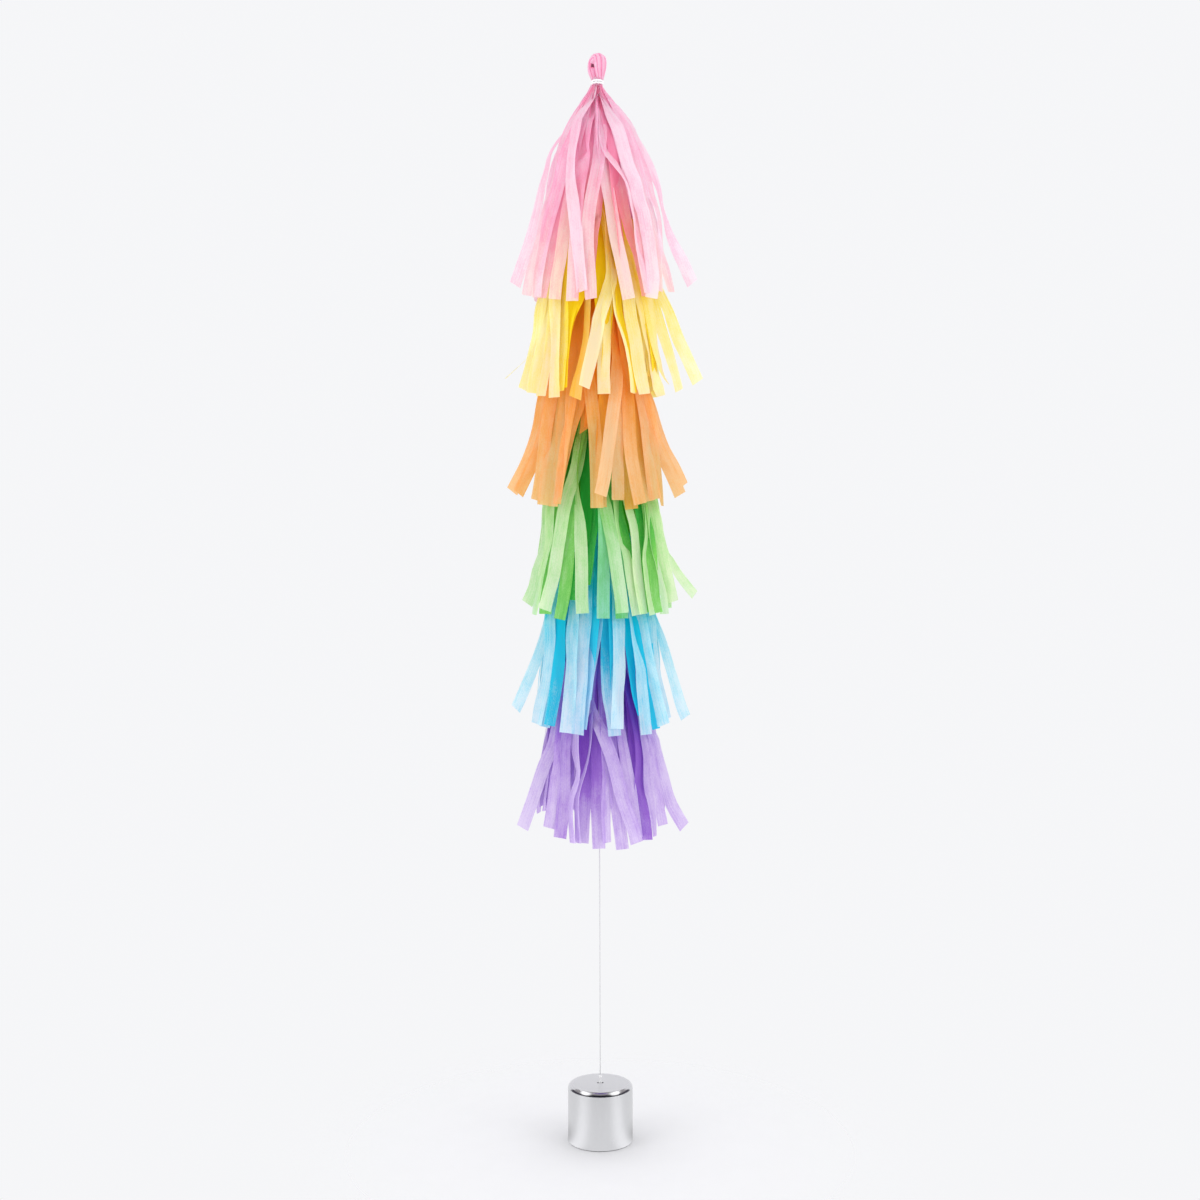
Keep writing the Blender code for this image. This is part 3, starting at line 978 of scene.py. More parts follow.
def cord_curve(name: str, points: list[Vector], thickness: float, closed: bool = False) -> Piece:
    """Lay a round cord along points.

    Args:
        name: The piece's name.
        points: Where it runs.
        thickness: Its diameter.
        closed: Whether it joins its own start.

    Returns:
        The curve, with no parent.
    """
    data = bpy.data.curves.new(name, "CURVE")
    data.dimensions = "3D"
    data.bevel_depth = thickness / 2.0
    data.bevel_resolution = 4
    data.use_fill_caps = True
    spline = data.splines.new("POLY")
    spline.points.add(len(points) - 1)
    for spot, point in zip(spline.points, points):
        spot.co = (*point, 1.0)
    spline.use_cyclic_u = closed
    spline.use_smooth = True
    return placed(name, data)


def tied_knot(name: str, centre: Vector, size: float, turn: float, thickness: float) -> Piece:
    """Tie a small three-looped knot.

    Args:
        name: The piece's name.
        centre: The knot's middle.
        size: Scale of its loops.
        turn: How far it is turned round the upright.
        thickness: The cord's diameter.

    Returns:
        The curve, with no parent.
    """
    spun_by = Matrix.Rotation(turn, 3, "Z")
    points = []
    count = 60
    for index in range(count):
        angle = math.tau * index / count
        spot = Vector((
            math.sin(angle) + 2.0 * math.sin(2.0 * angle),
            math.sin(3.0 * angle) * -0.9,
            math.cos(angle) - 2.0 * math.cos(2.0 * angle),
        ))
        points.append(centre + spun_by @ (spot * size))
    return cord_curve(name, points, thickness, closed=True)


@dataclass
class Cords:
    """The white cord: five short stretches inside the tassels and the long one to the weight.

    Attributes:
        diameter: The cord's thickness.
        spacing: How far apart the points along it stand.
        stretches: Each piece's name, body, top and bottom.
    """

    diameter: float = 0.0011
    spacing: float = 0.013
    stretches: tuple[tuple[str, str, float, float], ...] = (
        ("pink_cord", "pink_tassel", -0.0238, -0.0766),
        ("yellow_cord", "yellow_tassel", -0.1158, -0.1756),
        ("orange_cord", "orange_tassel", -0.2148, -0.2766),
        ("green_cord", "green_tassel", -0.3158, -0.3836),
        ("blue_cord", "blue_tassel", -0.4228, -0.4886),
        ("weight_cord", "long_cord", -0.5278, -0.9846),
    )

    def build(self) -> None:
        """Lay each stretch of cord."""
        yarn = SHADED_CORD.build()
        for node, body, top, bottom in self.stretches:
            last = max(16, round((top - bottom) / self.spacing)) - 1
            points = [on_axis(top + (bottom - top) * index / last) for index in range(last + 1)]
            piece = cord_curve(f"{node}_laid", points, self.diameter)
            piece.data.materials.append(yarn)
            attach(piece, body)
            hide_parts(node)
            LOG.info("%s: %.1f mm of cord", node, (top - bottom) / MM)


@dataclass
class Bundle:
    """A tassel's head: tissue twisted, folded over into a loop and tied at its neck.

    Attributes:
        colour: The tassel's colour name.
        body: The CAD body that it belongs to.
        eye: Height of its eye.
        tie: Height of its thread.
        tissue: Its finish.
        half_loop: Half of the loop's middle line, from a leg's foot to the crown. Each point has its place
            across the eye, its place along the eye, its height over the eye, and the section's half sizes.
        twist: How far the section twists round on its way over the loop, in radians.
        leg_pleats: Creases round a leg.
        leg_dent: How deep those creases are, as a share of the leg.
        neck: Radius of the bundle under the thread.
        neck_up: From the tie to the upper end of the neck.
        neck_down: From the tie to the lower end of the neck.
        pinch_half: Half of the height over which the thread pinches it.
        flare_from: Drop below the tie where the neck begins to flare.
        flare: How fast it flares there.
        neck_pleats: Creases round the neck.
        neck_dent: How deep those creases are, as a share of the neck.
        around: Points round a leg.
        neck_around: Points round the neck.
        rows: Rings along the neck.
    """

    colour: str
    body: str
    eye: float
    tie: float
    tissue: Tissue
    half_loop: tuple[Point, ...] = (
        (0.0016, 0.0018, -0.0150, 0.0026, 0.0034),
        (0.0022, 0.0020, -0.0118, 0.0028, 0.0038),
        (0.0043, 0.0012, -0.0075, 0.0036, 0.0052),
        (0.0066, 0.0003, -0.0025, 0.0043, 0.0064),
        (0.0072, 0.0000, 0.0020, 0.0045, 0.0067),
        (0.0055, 0.0000, 0.0058, 0.0044, 0.0066),
        (0.0000, 0.0000, 0.0076, 0.0043, 0.0064),
    )
    twist: float = 1.1
    leg_pleats: int = 7
    leg_dent: float = 0.13
    neck: float = 0.0050
    neck_up: float = 0.0042
    neck_down: float = 0.0170
    pinch_half: float = 0.0028
    flare_from: float = 0.0072
    flare: float = 0.60
    neck_pleats: int = 14
    neck_dent: float = 0.16
    around: int = 72
    neck_around: int = 90
    rows: int = 30

    def build(self) -> None:
        """Make the loop and the pleated neck."""
        chance = random.Random(f"{self.colour} head")
        for piece in (self.build_loop(chance), self.build_neck(chance)):
            piece.data.materials.append(self.tissue.build())
            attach(piece, self.body)
            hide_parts(f"{self.colour}_head")
        LOG.info("%s head: loop and neck", self.colour)

    def build_loop(self, chance: random.Random) -> Piece:
        """Make the creased loop with its eye.

        Args:
            chance: The source of its irregular creases.

        Returns:
            The piece, with no parent.
        """
        mirrored = [(-out, -slip, *rest) for out, slip, *rest in reversed(self.half_loop[:-1])]
        line = through_points([*self.half_loop, *mirrored], 72)
        centres = []
        frames = []
        rings = []
        phases = [chance.uniform(0.0, math.tau) for _ in range(3)]
        for index, (out, slip, up, wide, deep) in enumerate(line):
            after = line[min(index + 1, len(line) - 1)]
            before = line[max(index - 1, 0)]
            ahead = Vector((after[0] - before[0], 0.0, after[2] - before[2])).normalized()
            centres.append(Vector((out, slip, self.eye + up)))
            side = Vector((0.0, 1.0, 0.0))
            frames.append((side.cross(ahead), side))
            twist = self.twist * index / len(line)
            at_eye = eased(up, -0.0036, -0.0008) * (1.0 - eased(up, 0.0044, 0.0064))
            ring = []
            for step in range(self.around):
                angle = math.tau * step / self.around
                wander = phases[0] + 0.9 * math.sin(angle + phases[1])
                crease = (1.0 - abs(math.sin(self.leg_pleats / 2.0 * (angle + twist) + wander))) ** 3.0
                dent = 1.0 - self.leg_dent * crease
                dent += 0.035 * math.sin(angle * 3.0 + index * 0.09 + phases[2])
                # Painted shade: the creases, and the inner faces of the legs round the eye, get a denser tone
                # for the shade in them.
                eye_shade = eased(-math.cos(angle), 0.45, 0.75) * at_eye
                dark = 0.22 + 1.7 * crease + 0.12 * math.sin(angle * 2.0 + index * 0.11) + 3.4 * eye_shade
                ring.append((wide * dent * math.cos(angle), deep * dent * math.sin(angle), dark))
            rings.append(ring)
        return swept(f"{self.colour}_loop", centres, frames, rings)

    def build_neck(self, chance: random.Random) -> Piece:
        """Make the pleated neck, from above the thread to the top of the strips.

        Args:
            chance: The source of its irregular pleats.

        Returns:
            The piece, with no parent.
        """
        centres = []
        rings = []
        phase = chance.uniform(0.0, math.tau)
        for index in range(self.rows):
            share = index / (self.rows - 1)
            height = self.neck_up - share * (self.neck_up + self.neck_down)
            pinch = 1.0 - 0.10 * math.exp(-((height / self.pinch_half) ** 2))
            shoulder = 1.0 - 0.75 * (1.0 - eased(share, -0.001, 0.06))
            foot = 1.0 - 0.35 * eased(share, 0.86, 1.0)
            wide = self.neck + self.flare * max(0.0, -height - self.flare_from)
            inside = eased(-height, 0.004, 0.010)
            ring = []
            for step in range(self.neck_around):
                angle = math.tau * step / self.neck_around
                wander = phase + 0.8 * math.sin(angle + phase)
                crease = (1.0 - abs(math.sin(self.neck_pleats / 2.0 * angle + wander))) ** 1.8
                radius = wide * pinch * shoulder * foot * (1.0 - self.neck_dent * crease)
                # Painted shade: the creases between pleats get a denser tone, and the part inside the strips
                # the tone of a deep pocket.
                dark = 0.2 + 2.4 * crease ** 1.5
                dark += (2.0 - dark) * inside
                ring.append((radius * math.cos(angle), radius * math.sin(angle), dark))
            centres.append(on_axis(self.tie + height))
            rings.append(ring)
        axes = (Vector((0.0, 1.0, 0.0)), Vector((1.0, 0.0, 0.0)))
        return swept(f"{self.colour}_neck", centres, [axes] * self.rows, rings)


@dataclass
class Thread:
    """The white thread bound round a neck and knotted.

    Attributes:
        colour: The tassel's colour name.
        body: The CAD body that it belongs to.
        tie: Height of the binding's middle.
        radius: From the axis to the thread's middle.
        thickness: The thread's diameter, drawn flat by the binding.
        turns: How often it goes round.
        pitch: How far it climbs where it crosses itself.
        crossing: Half of the turn over which it climbs.
        slack: How far its round is out of true.
        sag: How far its middle lies below the tie.
        count: Steps along it.
        knot_out: From the thread's middle to the knot's.
        knot_left: How far the knot lies to the left.
        knot_size: Scale of the knot's loops.
        knot_thickness: Thickness of its drawn-up ends.
    """

    colour: str
    body: str
    tie: float
    radius: float = 0.0053
    thickness: float = 0.0020
    turns: float = 1.9
    pitch: float = 0.0023
    crossing: float = 0.2
    slack: float = 0.00008
    sag: float = 0.0018
    count: int = 72
    knot_out: float = 0.0009
    knot_left: float = 0.0013
    knot_size: float = 0.00028
    knot_thickness: float = 0.0006

    def build(self) -> None:
        """Wind the thread and tie its knot."""
        yarn = THREAD.build()
        height = self.tie - self.sag
        points = []
        for index in range(self.count + 1):
            turned = self.turns * (index / self.count - 0.5)
            angle = VIEW.turn + math.pi / 2.0 + math.tau * turned
            flat = self.radius + self.slack * math.sin(5.0 * angle)
            climb = self.pitch * (eased(turned, -self.crossing, self.crossing) - 0.5)
            points.append(Vector((flat * math.cos(angle), flat * math.sin(angle), height + climb)))
        winding = cord_curve(f"{self.colour}_thread", points, self.thickness)
        winding.data.materials.append(yarn)
        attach(winding, self.body)
        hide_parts(f"{self.colour}_binding")
        middle = VIEW.toward * (self.radius + self.knot_out) - VIEW.across * self.knot_left + on_axis(height)
        tied = tied_knot(
            f"{self.colour}_thread_knot", middle, self.knot_size, VIEW.turn, self.knot_thickness,
        )
        tied.data.materials.append(yarn)
        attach(tied, self.body)
        LOG.info("%s thread: %.1f turns", self.colour, self.turns)


@dataclass
class Hanger:
    """The ring of cord that carries a hidden head, drawn up into a knot.

    Attributes:
        colour: The tassel's colour name.
        body: The CAD body that it belongs to.
        pivot: Height of the knot.
        below: From the knot to the ring's centre.
        half_wide: Half of the ring's width.
        half_tall: Half of its height.
        thickness: The ring's thickness.
        count: Points round it.
        knot_size: Scale of the knot's loops.
        knot_turn: How far the knot is turned, in radians.
        knot_thickness: The knot's thickness, drawn tight.
    """

    colour: str
    body: str
    pivot: float
    below: float = 0.0060
    half_wide: float = 0.00755
    half_tall: float = 0.00525
    thickness: float = 0.0011
    count: int = 48
    knot_size: float = 0.00040
    knot_turn: float = 0.3
    knot_thickness: float = 0.0010

    def build(self) -> None:
        """Bend the ring and tie the knot."""
        yarn = THREAD.build()
        points = []
        for index in range(self.count):
            angle = math.tau * index / self.count
            height = self.pivot - self.below + self.half_tall * math.cos(angle)
            points.append(Vector((0.0, self.half_wide * math.sin(angle), height)))
        ring = cord_curve(f"{self.colour}_hanging_ring", points, self.thickness, closed=True)
        tied = tied_knot(
            f"{self.colour}_hanging_knot", on_axis(self.pivot), self.knot_size, self.knot_turn,
            self.knot_thickness,
        )
        for piece in (ring, tied):
            piece.data.materials.append(yarn)
            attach(piece, self.body)
        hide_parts(f"{self.colour}_hanger")
        LOG.info("%s hanger", self.colour)


@dataclass
class Weight:
    """The silver weight: a drawn shell with two holes, its filling and its base.

    Attributes:
        top: Height of its flat top.
        radius: Its radius.
        height: Its height with the base.
        shoulder: Rounding of its top edge.
        wall: Thickness of the shell.
        above_floor: Gap under the shell's rim, where the base disc shows.
        foot: Rounding of its lower edge.
        hole_apart: Between the middles of its two holes.
        hole_radius: Radius of a hole.
        drill_length: Length of the drill that cuts them.
        sides: Faces round the shell.
        base_gap: Between the base disc and the shell.
        base_edge: Bevel of the disc's lower edge.
        base_thick: Thickness of the disc.
        knot_up: From the top to the cord's knot.
        slack: Gap between the top's underside and the cord.
        loop_thickness: The cord's thickness through the holes, drawn tight.
        knot_size: Scale of the knot's loops.
        knot_thickness: The knot's thickness.
    """

    top: float = -0.9919
    radius: float = 0.0315
    height: float = 0.0558
    shoulder: float = 0.0044
    wall: float = 0.0008
    above_floor: float = 0.0007
    foot: float = 0.0005
    hole_apart: float = 0.0034
    hole_radius: float = 0.0015
    drill_length: float = 0.006
    sides: int = 128
    base_gap: float = 0.0004
    base_edge: float = 0.0004
    base_thick: float = 0.0019
    knot_up: float = 0.0055
    slack: float = 0.0006
    loop_thickness: float = 0.0008
    knot_size: float = 0.00042
    knot_thickness: float = 0.0011

    def build(self) -> None:
        """Make the shell, the filling, the base and the cord's loop."""
        self.build_shell()
        self.build_base()
        self.build_eye()
        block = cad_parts["weight_block"]
        block.data.materials.clear()
        block.data.materials.append(CAST.build())
        LOG.info("weight: shell, base and cord loop")

    def arc(
        self, middle: float, height: float, radius: float, first: float, last: float, count: int,
    ) -> list[Point]:
        """Round a corner of the profile.

        Args:
            middle: The corner circle's distance from the axis.
            height: Its height.
            radius: Its radius.
            first: Angle that it starts at, in degrees.
            last: Angle that it ends at.
            count: How many points.

        Returns:
            Distance from the axis and height of each point.
        """
        points = []
        for index in range(count):
            angle = math.radians(first + (last - first) * index / (count - 1))
            points.append((middle + radius * math.cos(angle), height + radius * math.sin(angle)))
        return points

    def build_shell(self) -> None:
        """Spin the shell's profile, cut the two holes and finish its faces."""
        foot_level = self.top - self.height + self.above_floor
        inside_radius = self.radius - self.wall
        rounding = self.shoulder - self.wall
        profile = [
            (0.0, self.top),
            *self.arc(self.radius - self.shoulder, self.top - self.shoulder, self.shoulder, 90.0, 0.0, 12),
            *self.arc(self.radius - self.foot, foot_level + self.foot, self.foot, 0.0, -80.0, 5),
            (inside_radius, foot_level),
            *self.arc(inside_radius - rounding, self.top - self.shoulder, rounding, 0.0, 90.0, 8),
            (0.0, self.top - self.wall),
        ]
        piece = spun("silver_shell", profile, self.sides)
        for side in SIDES:
            self.cut_hole(piece, VIEW.across * (side * self.hole_apart / 2.0))
        mesh = piece.data
        finishes = (SATIN, BRIGHT, INSIDE)
        for finish in finishes:
            mesh.materials.append(finish.build())
        smoothed(mesh, 40.0)
        for face in mesh.polygons:
            face.material_index = finishes.index(self.finish_at(face.center, face.normal))
        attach(piece, "weight")
        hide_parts("weight_shell")

    def finish_at(self, centre: Vector, normal: Vector) -> Silver:
        """Choose the finish of one face of the shell.

        Args:
            centre: The face's middle.
            normal: The way it faces.

        Returns:
            The finish.
        """
        out = Vector((centre.x, centre.y, 0.0))
        if normal.dot(out) <= 0.0 and normal.z <= 0.5:
            return INSIDE
        on_shoulder = self.top - self.shoulder < centre.z < self.top - 1e-5
        return BRIGHT if on_shoulder and out.length > self.radius - self.shoulder else SATIN

    def cut_hole(self, piece: Piece, where: Vector) -> None:
        """Cut one round hole through the top.

        Args:
            piece: The shell.
            where: The hole's place across the top.
        """
        shape = bmesh.new()
        bmesh.ops.create_cone(
            shape, cap_ends=True, segments=32, radius1=self.hole_radius, radius2=self.hole_radius,
            depth=self.drill_length,
        )
        drill = placed("drill", meshed("drill", shape))
        drill.location = where + on_axis(self.top)
        cut = piece.modifiers.new("hole", "BOOLEAN")
        cut.operation = "DIFFERENCE"
        cut.object = drill
        cut.solver = "EXACT"
        bpy.context.view_layer.update()
        done = bpy.data.meshes.new_from_object(piece.evaluated_get(bpy.context.evaluated_depsgraph_get()))
        piece.modifiers.clear()
        piece.data = done
        bpy.data.objects.remove(drill)

    def build_base(self) -> None:
        """Spin the dark base disc."""
        floor = self.top - self.height
        wide = self.radius - self.wall - self.base_gap
        profile = [
            (0.0, floor + self.base_thick), (wide, floor + self.base_thick),
            (wide, floor + self.base_edge), (wide - self.base_edge, floor), (0.0, floor),
        ]
        piece = spun("base_disc", profile, self.sides)
        smoothed(piece.data, 35.0)
        # Its near-black colour paints the shadow line in the gap under the shell's rim.
        piece.data.materials.append(BASE_SHADE.build())
        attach(piece, "weight")
        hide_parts("weight_base_disc")

    def build_eye(self) -> None:
        """Lead the cord down through one hole and up through the other, under its knot."""
        yarn = THREAD.build()
        half = self.hole_apart / 2.0
        knot_height = self.top + self.knot_up
        under = self.top - self.wall - self.slack
        route = [
            (0.0, knot_height), (half * 0.12, knot_height - 0.002), (half * 0.45, self.top + 0.0012),
            (half * 0.72, self.top - 0.0004), (half * 0.7, under + 0.0002), (0.0, under),
        ]
        route += [(-out, height) for out, height in reversed(route[:-1])]
        spots = through_points([(out, 0.0, height) for out, height in route], 60)
        points = [VIEW.across * spot[0] + on_axis(spot[2]) for spot in spots[:-1]]
        loop = cord_curve("weight_cord_loop", points, self.loop_thickness, closed=True)
        tied = tied_knot(
            "weight_cord_knot", on_axis(knot_height + 0.0003), self.knot_size, VIEW.turn, self.knot_thickness,
        )
        for piece in (loop, tied):
            piece.data.materials.append(yarn)
            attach(piece, "cord_eye")
        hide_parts("weight_cord_eye")


class Shade(Enum):
    """The colours that the polished metal sees in the room."""

    BLACK = (0.008, 0.009, 0.016)
    DIM = (0.07, 0.065, 0.085)
    MAUVE = (0.32, 0.30, 0.31)
    PALE = (0.85, 0.85, 0.875)


@dataclass
class Studio:
    """The plain pale floor, the white surround and the soft lights.

    Attributes:
        floor: Height of the floor.
        floor_radius: Radius of the floor.
        floor_tint: Colour of the floor.
        fade: Where the floor begins to fade into the backdrop, and where it is gone.
        backdrop: Colour that the camera sees behind the object.
        soft_tint: Colour of the light from all round.
        soft_level: Level of that light.
        room: Radius of the dark room that the metal mirrors.
        room_centre: Height of the room's middle.
        room_step: Width and height of the room's panels, in degrees.
        look_down: How far the viewer looks down on the weight, in radians.
        oval_round: Middle and half width of a glow's oval on the shoulder, in degrees round.
        oval_up: Middle and half height of that oval, in degrees up.
        oval_levels: Brightness at the oval's rim and at its heart.
        lamp_size: Width and height of a softbox.
        lamp_power: Its power, in watts.
        lamp_place: How far it stands to the side, in front, and over the picture's centre.
    """

    floor: float = -1.0477
    floor_radius: float = 0.9
    floor_tint: Colour = (0.757, 0.758, 0.770)
    fade: tuple[float, float] = (0.08, 0.34)
    backdrop: Colour = (0.919, 0.923, 0.939)
    soft_tint: Colour = (0.99, 0.99, 1.0)
    soft_level: float = 1.17
    room: float = 1.7
    room_centre: float = -0.995
    room_step: int = 5
    look_down: float = math.radians(18.5)
    oval_round: tuple[float, float] = (27.0, 12.5)
    oval_up: tuple[float, float] = (50.0, 32.0)
    oval_levels: tuple[float, float] = (0.34, 1.5)
    lamp_size: tuple[float, float] = (0.9, 1.5)
    lamp_power: float = 4.7
    lamp_place: tuple[float, float, float] = (1.3, 0.9, 0.35)

    def build(self) -> None:
        """Set up the world, the floor, the room and the lights."""
        bpy.context.scene.view_settings.view_transform = "Standard"
        self.build_world()
        self.build_floor()
        self.build_room()
        self.build_mirrored_floor()
        for side, place in zip(SIDES, ("left", "right")):
            self.build_lamp(f"{place}_softbox", side)
            self.build_glow(f"{place}_glow", side)
        LOG.info("studio: surround, floor, room and two softboxes")

    def build_world(self) -> None:
        """Light the object softly, and show the camera and the metal the white backdrop."""
        world = bpy.data.worlds.new("surround")
        bpy.context.scene.world = world
        world.use_nodes = True
        tree = world.node_tree
        tree.nodes.clear()
        path = tree.nodes.new("ShaderNodeLightPath")
        seen = path.outputs["Is Camera Ray"]
        for ray in ("Is Glossy Ray", "Is Transmission Ray"):
            either = tree.nodes.new("ShaderNodeMath")
            either.operation = "MAXIMUM"
            tree.links.new(seen, either.inputs[0])
            tree.links.new(path.outputs[ray], either.inputs[1])
            seen = either.outputs[0]
        mixed = tree.nodes.new("ShaderNodeMixShader")
        tree.links.new(seen, mixed.inputs[0])
        lights = ((self.soft_tint, self.soft_level), (self.backdrop, 1.0))
        for socket, (tint, level) in enumerate(lights, start=1):
            light = tree.nodes.new("ShaderNodeBackground")
            light.inputs["Color"].default_value = rgba(tint)
            light.inputs["Strength"].default_value = level
            tree.links.new(light.outputs[0], mixed.inputs[socket])
        output = tree.nodes.new("ShaderNodeOutputWorld")
        tree.links.new(mixed.outputs[0], output.inputs["Surface"])

    def build_floor(self) -> None:
        """Lay a round floor that fades into the backdrop."""
        floor = disc("studio_floor", self.floor_radius)
        floor.location = on_axis(self.floor)
        mix = Recipe("studio_floor")
        place = mix.place()
        away = mix.node("VectorMath", {"operation": "LENGTH"}, i0=place).outputs["Value"]
        faint = mix.spread(mix.grain(place, 30.0, 2.0), 0.3, 0.7, 0.0, 1.0)
        colour = mix.blend(faint, rgba(self.floor_tint), rgba(self.floor_tint, 0.99))
        matt = mix.node("BsdfDiffuse", None, Color=colour).outputs[0]
        clear = mix.node("BsdfTransparent").outputs[0]
        edge = mix.spread(away, *self.fade, 0.0, 1.0)
        faded = mix.node("MixShader", None, i0=edge, i1=matt, i2=clear).outputs[0]
        floor.data.materials.append(mix.close(faded))

    def room_shade(self, round_by: float, up_by: float) -> Shade | None:
        """Say what a part of the room looks like.

        Args:
            round_by: Degrees round from the viewer's side.
            up_by: Degrees up from level.

        Returns:
            The shade, or None where the white backdrop shows.
        """
        away = abs(round_by)
        if away > 127.0:
            return Shade.MAUVE if up_by > 38.0 else Shade.PALE if up_by > 5.0 else None
        if away < 50.0:
            return Shade.BLACK if up_by < 46.0 else Shade.MAUVE
        if away < 100.0 and up_by < 10.0:
            return Shade.BLACK
        return Shade.DIM if up_by < 30.0 else Shade.MAUVE

    def build_room(self) -> None:
        """Stand the dark room round the viewer's side, which only the metal mirrors."""
        shape = bmesh.new()
        step = self.room_step
        shades = list(Shade)
        for round_by in range(-180, 180, step):
            for up_by in range(-7, 88, step):
                shade = self.room_shade(round_by + step / 2.0, up_by + step / 2.0)
                if shade is None:
                    continue
                corners = []
                for more_round, more_up in ((0, 0), (step, 0), (step, step), (0, step)):
                    turn = math.radians(round_by + more_round)
                    rise = math.radians(up_by + more_up)
                    level = VIEW.toward * math.cos(turn) + VIEW.across * math.sin(turn)
                    way = level * math.cos(rise) + on_axis(math.sin(rise))
                    corners.append(shape.verts.new(on_axis(self.room_centre) + way * self.room))
                shape.faces.new(corners).material_index = shades.index(shade)
        bmesh.ops.remove_doubles(shape, verts=shape.verts, dist=1e-5)
        room = placed("dark_room", meshed("dark_room", shape))
        for shade in shades:
            mix = Recipe(f"room_{shade.name.lower()}")
            even = mix.node("Emission", None, Color=rgba(shade.value), Strength=1.0)
            room.data.materials.append(mix.close(even.outputs[0]))
        self.mirrored_only(room)

    def build_mirrored_floor(self) -> None:
        """Lay the bright and dim fans on the floor that only the metal's side mirrors."""
        card = disc("mirrored_floor", self.floor_radius)
        card.location = on_axis(self.floor + 0.3 * MM)
        card.rotation_euler = (0.0, 0.0, VIEW.turn - math.pi / 2.0)
        mix = Recipe("mirrored_floor")
        place = mix.place()
        parts = mix.node("SeparateXYZ", None, Vector=place).outputs
        round_by = mix.math("ABSOLUTE", mix.math("ARCTAN2", parts[1], parts[0]))
        away = mix.node("VectorMath", {"operation": "LENGTH"}, i0=place).outputs["Value"]
        rising = mix.spread(round_by, 0.40, 0.90, 0.0, 1.0)
        falling = mix.spread(round_by, 1.05, 1.50, 1.0, 0.0)
        bright = mix.math("MULTIPLY", rising, falling)
        behind = mix.spread(round_by, 1.2, 1.9, 0.0, 1.0)
        corner = mix.math("MULTIPLY", behind, mix.spread(away, 0.034, 0.085, 1.0, 0.0))
        level = mix.math("ADD", 0.83, mix.math("MULTIPLY", bright, 0.23))
        level = mix.math("SUBTRACT", level, mix.math("MULTIPLY", corner, 0.30))
        glow = mix.node("Emission", None, Color=(0.985, 0.99, 1.0, 1.0), Strength=level).outputs[0]
        card.data.materials.append(mix.close(glow))
        self.mirrored_only(card)

    def mirrored_only(self, piece: Piece) -> None:
        """Let only the metal see a piece of the studio."""
        for name in ("visible_camera", "visible_diffuse", "visible_transmission", "visible_shadow"):
            setattr(piece, name, False)

    def build_glow(self, name: str, side: float) -> None:
        """Hang the glowing face of a softbox, which only the metal mirrors, as an oval on the shoulder.

        Args:
            name: Its name.
            side: -1 for the left and 1 for the right.
        """
        shape = bmesh.new()
        seen_from = Vector((math.cos(self.look_down), 0.0, math.sin(self.look_down)))
        rim = []
        count = 48
        for index in range(count):
            turned = math.tau * index / count
            round_by = math.radians(self.oval_round[0] + self.oval_round[1] * math.cos(turned))
            up_by = math.radians(self.oval_up[0] + self.oval_up[1] * math.sin(turned))
            facing = Vector((
                math.cos(up_by) * math.cos(round_by), math.cos(up_by) * math.sin(round_by), math.sin(up_by),
            ))
            ray = facing * (2.0 * facing.dot(seen_from)) - seen_from
            way = VIEW.toward * ray.x + VIEW.across * (side * ray.y) + on_axis(ray.z)
            rim.append(shape.verts.new(on_axis(self.room_centre) + way * (self.room * 0.95)))
        heart = shape.verts.new(sum((spot.co for spot in rim), Vector()) / count)
        for index, spot in enumerate(rim):
            shape.faces.new((heart, spot, rim[(index + 1) % count]))
        glow = placed(name, meshed(name, shape))
        marked(glow.data, "bright", [0.0] * count + [1.0])
        mix = Recipe(name)
        level = mix.spread(mix.mark("bright"), 0.0, 0.5, *self.oval_levels)
        glow.data.materials.append(mix.close(mix.node("Emission", None, Strength=level).outputs[0]))
        self.mirrored_only(glow)

    def build_lamp(self, name: str, side: float) -> None:
        """Stand one softbox at the viewer's left or right, facing the middle of the tail.

        Args:
            name: Its name.
            side: -1 for the left and 1 for the right.
        """
        data = bpy.data.lights.new(name, "AREA")
        data.shape = "RECTANGLE"
        data.size, data.size_y = self.lamp_size
        data.energy = self.lamp_power
        lamp = placed(name, data)
        out, near, up = self.lamp_place
        lamp.location = VIEW.across * (side * out) + VIEW.toward * near + on_axis(VIEW.level + up)
        lamp.rotation_euler = (on_axis(VIEW.level) - lamp.location).to_track_quat("-Z", "Y").to_euler()
        lamp.visible_glossy = False


PINK = Tissue(
    "pink_tissue", (0.97, 0.87, 0.95), (0.98, 0.44, 0.66), (0.98, 0.32, 0.50), (1.0, 0.94, 0.70), 0.40,
)
YELLOW = Tissue(
    "yellow_tissue", (1.0, 1.0, 0.69), (1.0, 0.88, 0.08), (1.0, 0.81, 0.010), (1.0, 0.75, 0.36), 0.30,
)
ORANGE = Tissue(
    "orange_tissue", (1.0, 0.71, 0.42), (1.0, 0.47, 0.11), (1.0, 0.39, 0.025), (0.84, 0.97, 0.68), 0.30,
)
GREEN = Tissue(
    "green_tissue", (0.86, 0.95, 0.68), (0.34, 0.80, 0.19), (0.045, 0.53, 0.08), (0.40, 0.86, 0.95),
)
BLUE = Tissue(
    "blue_tissue", (0.78, 0.95, 0.98), (0.05, 0.69, 0.86), (0.004, 0.73, 0.94), (0.70, 0.70, 0.97),
)
PURPLE = Tissue(
    "purple_tissue", (0.79, 0.68, 0.91), (0.43, 0.22, 0.72), (0.29, 0.10, 0.60), (1.0, 1.0, 1.0),
)

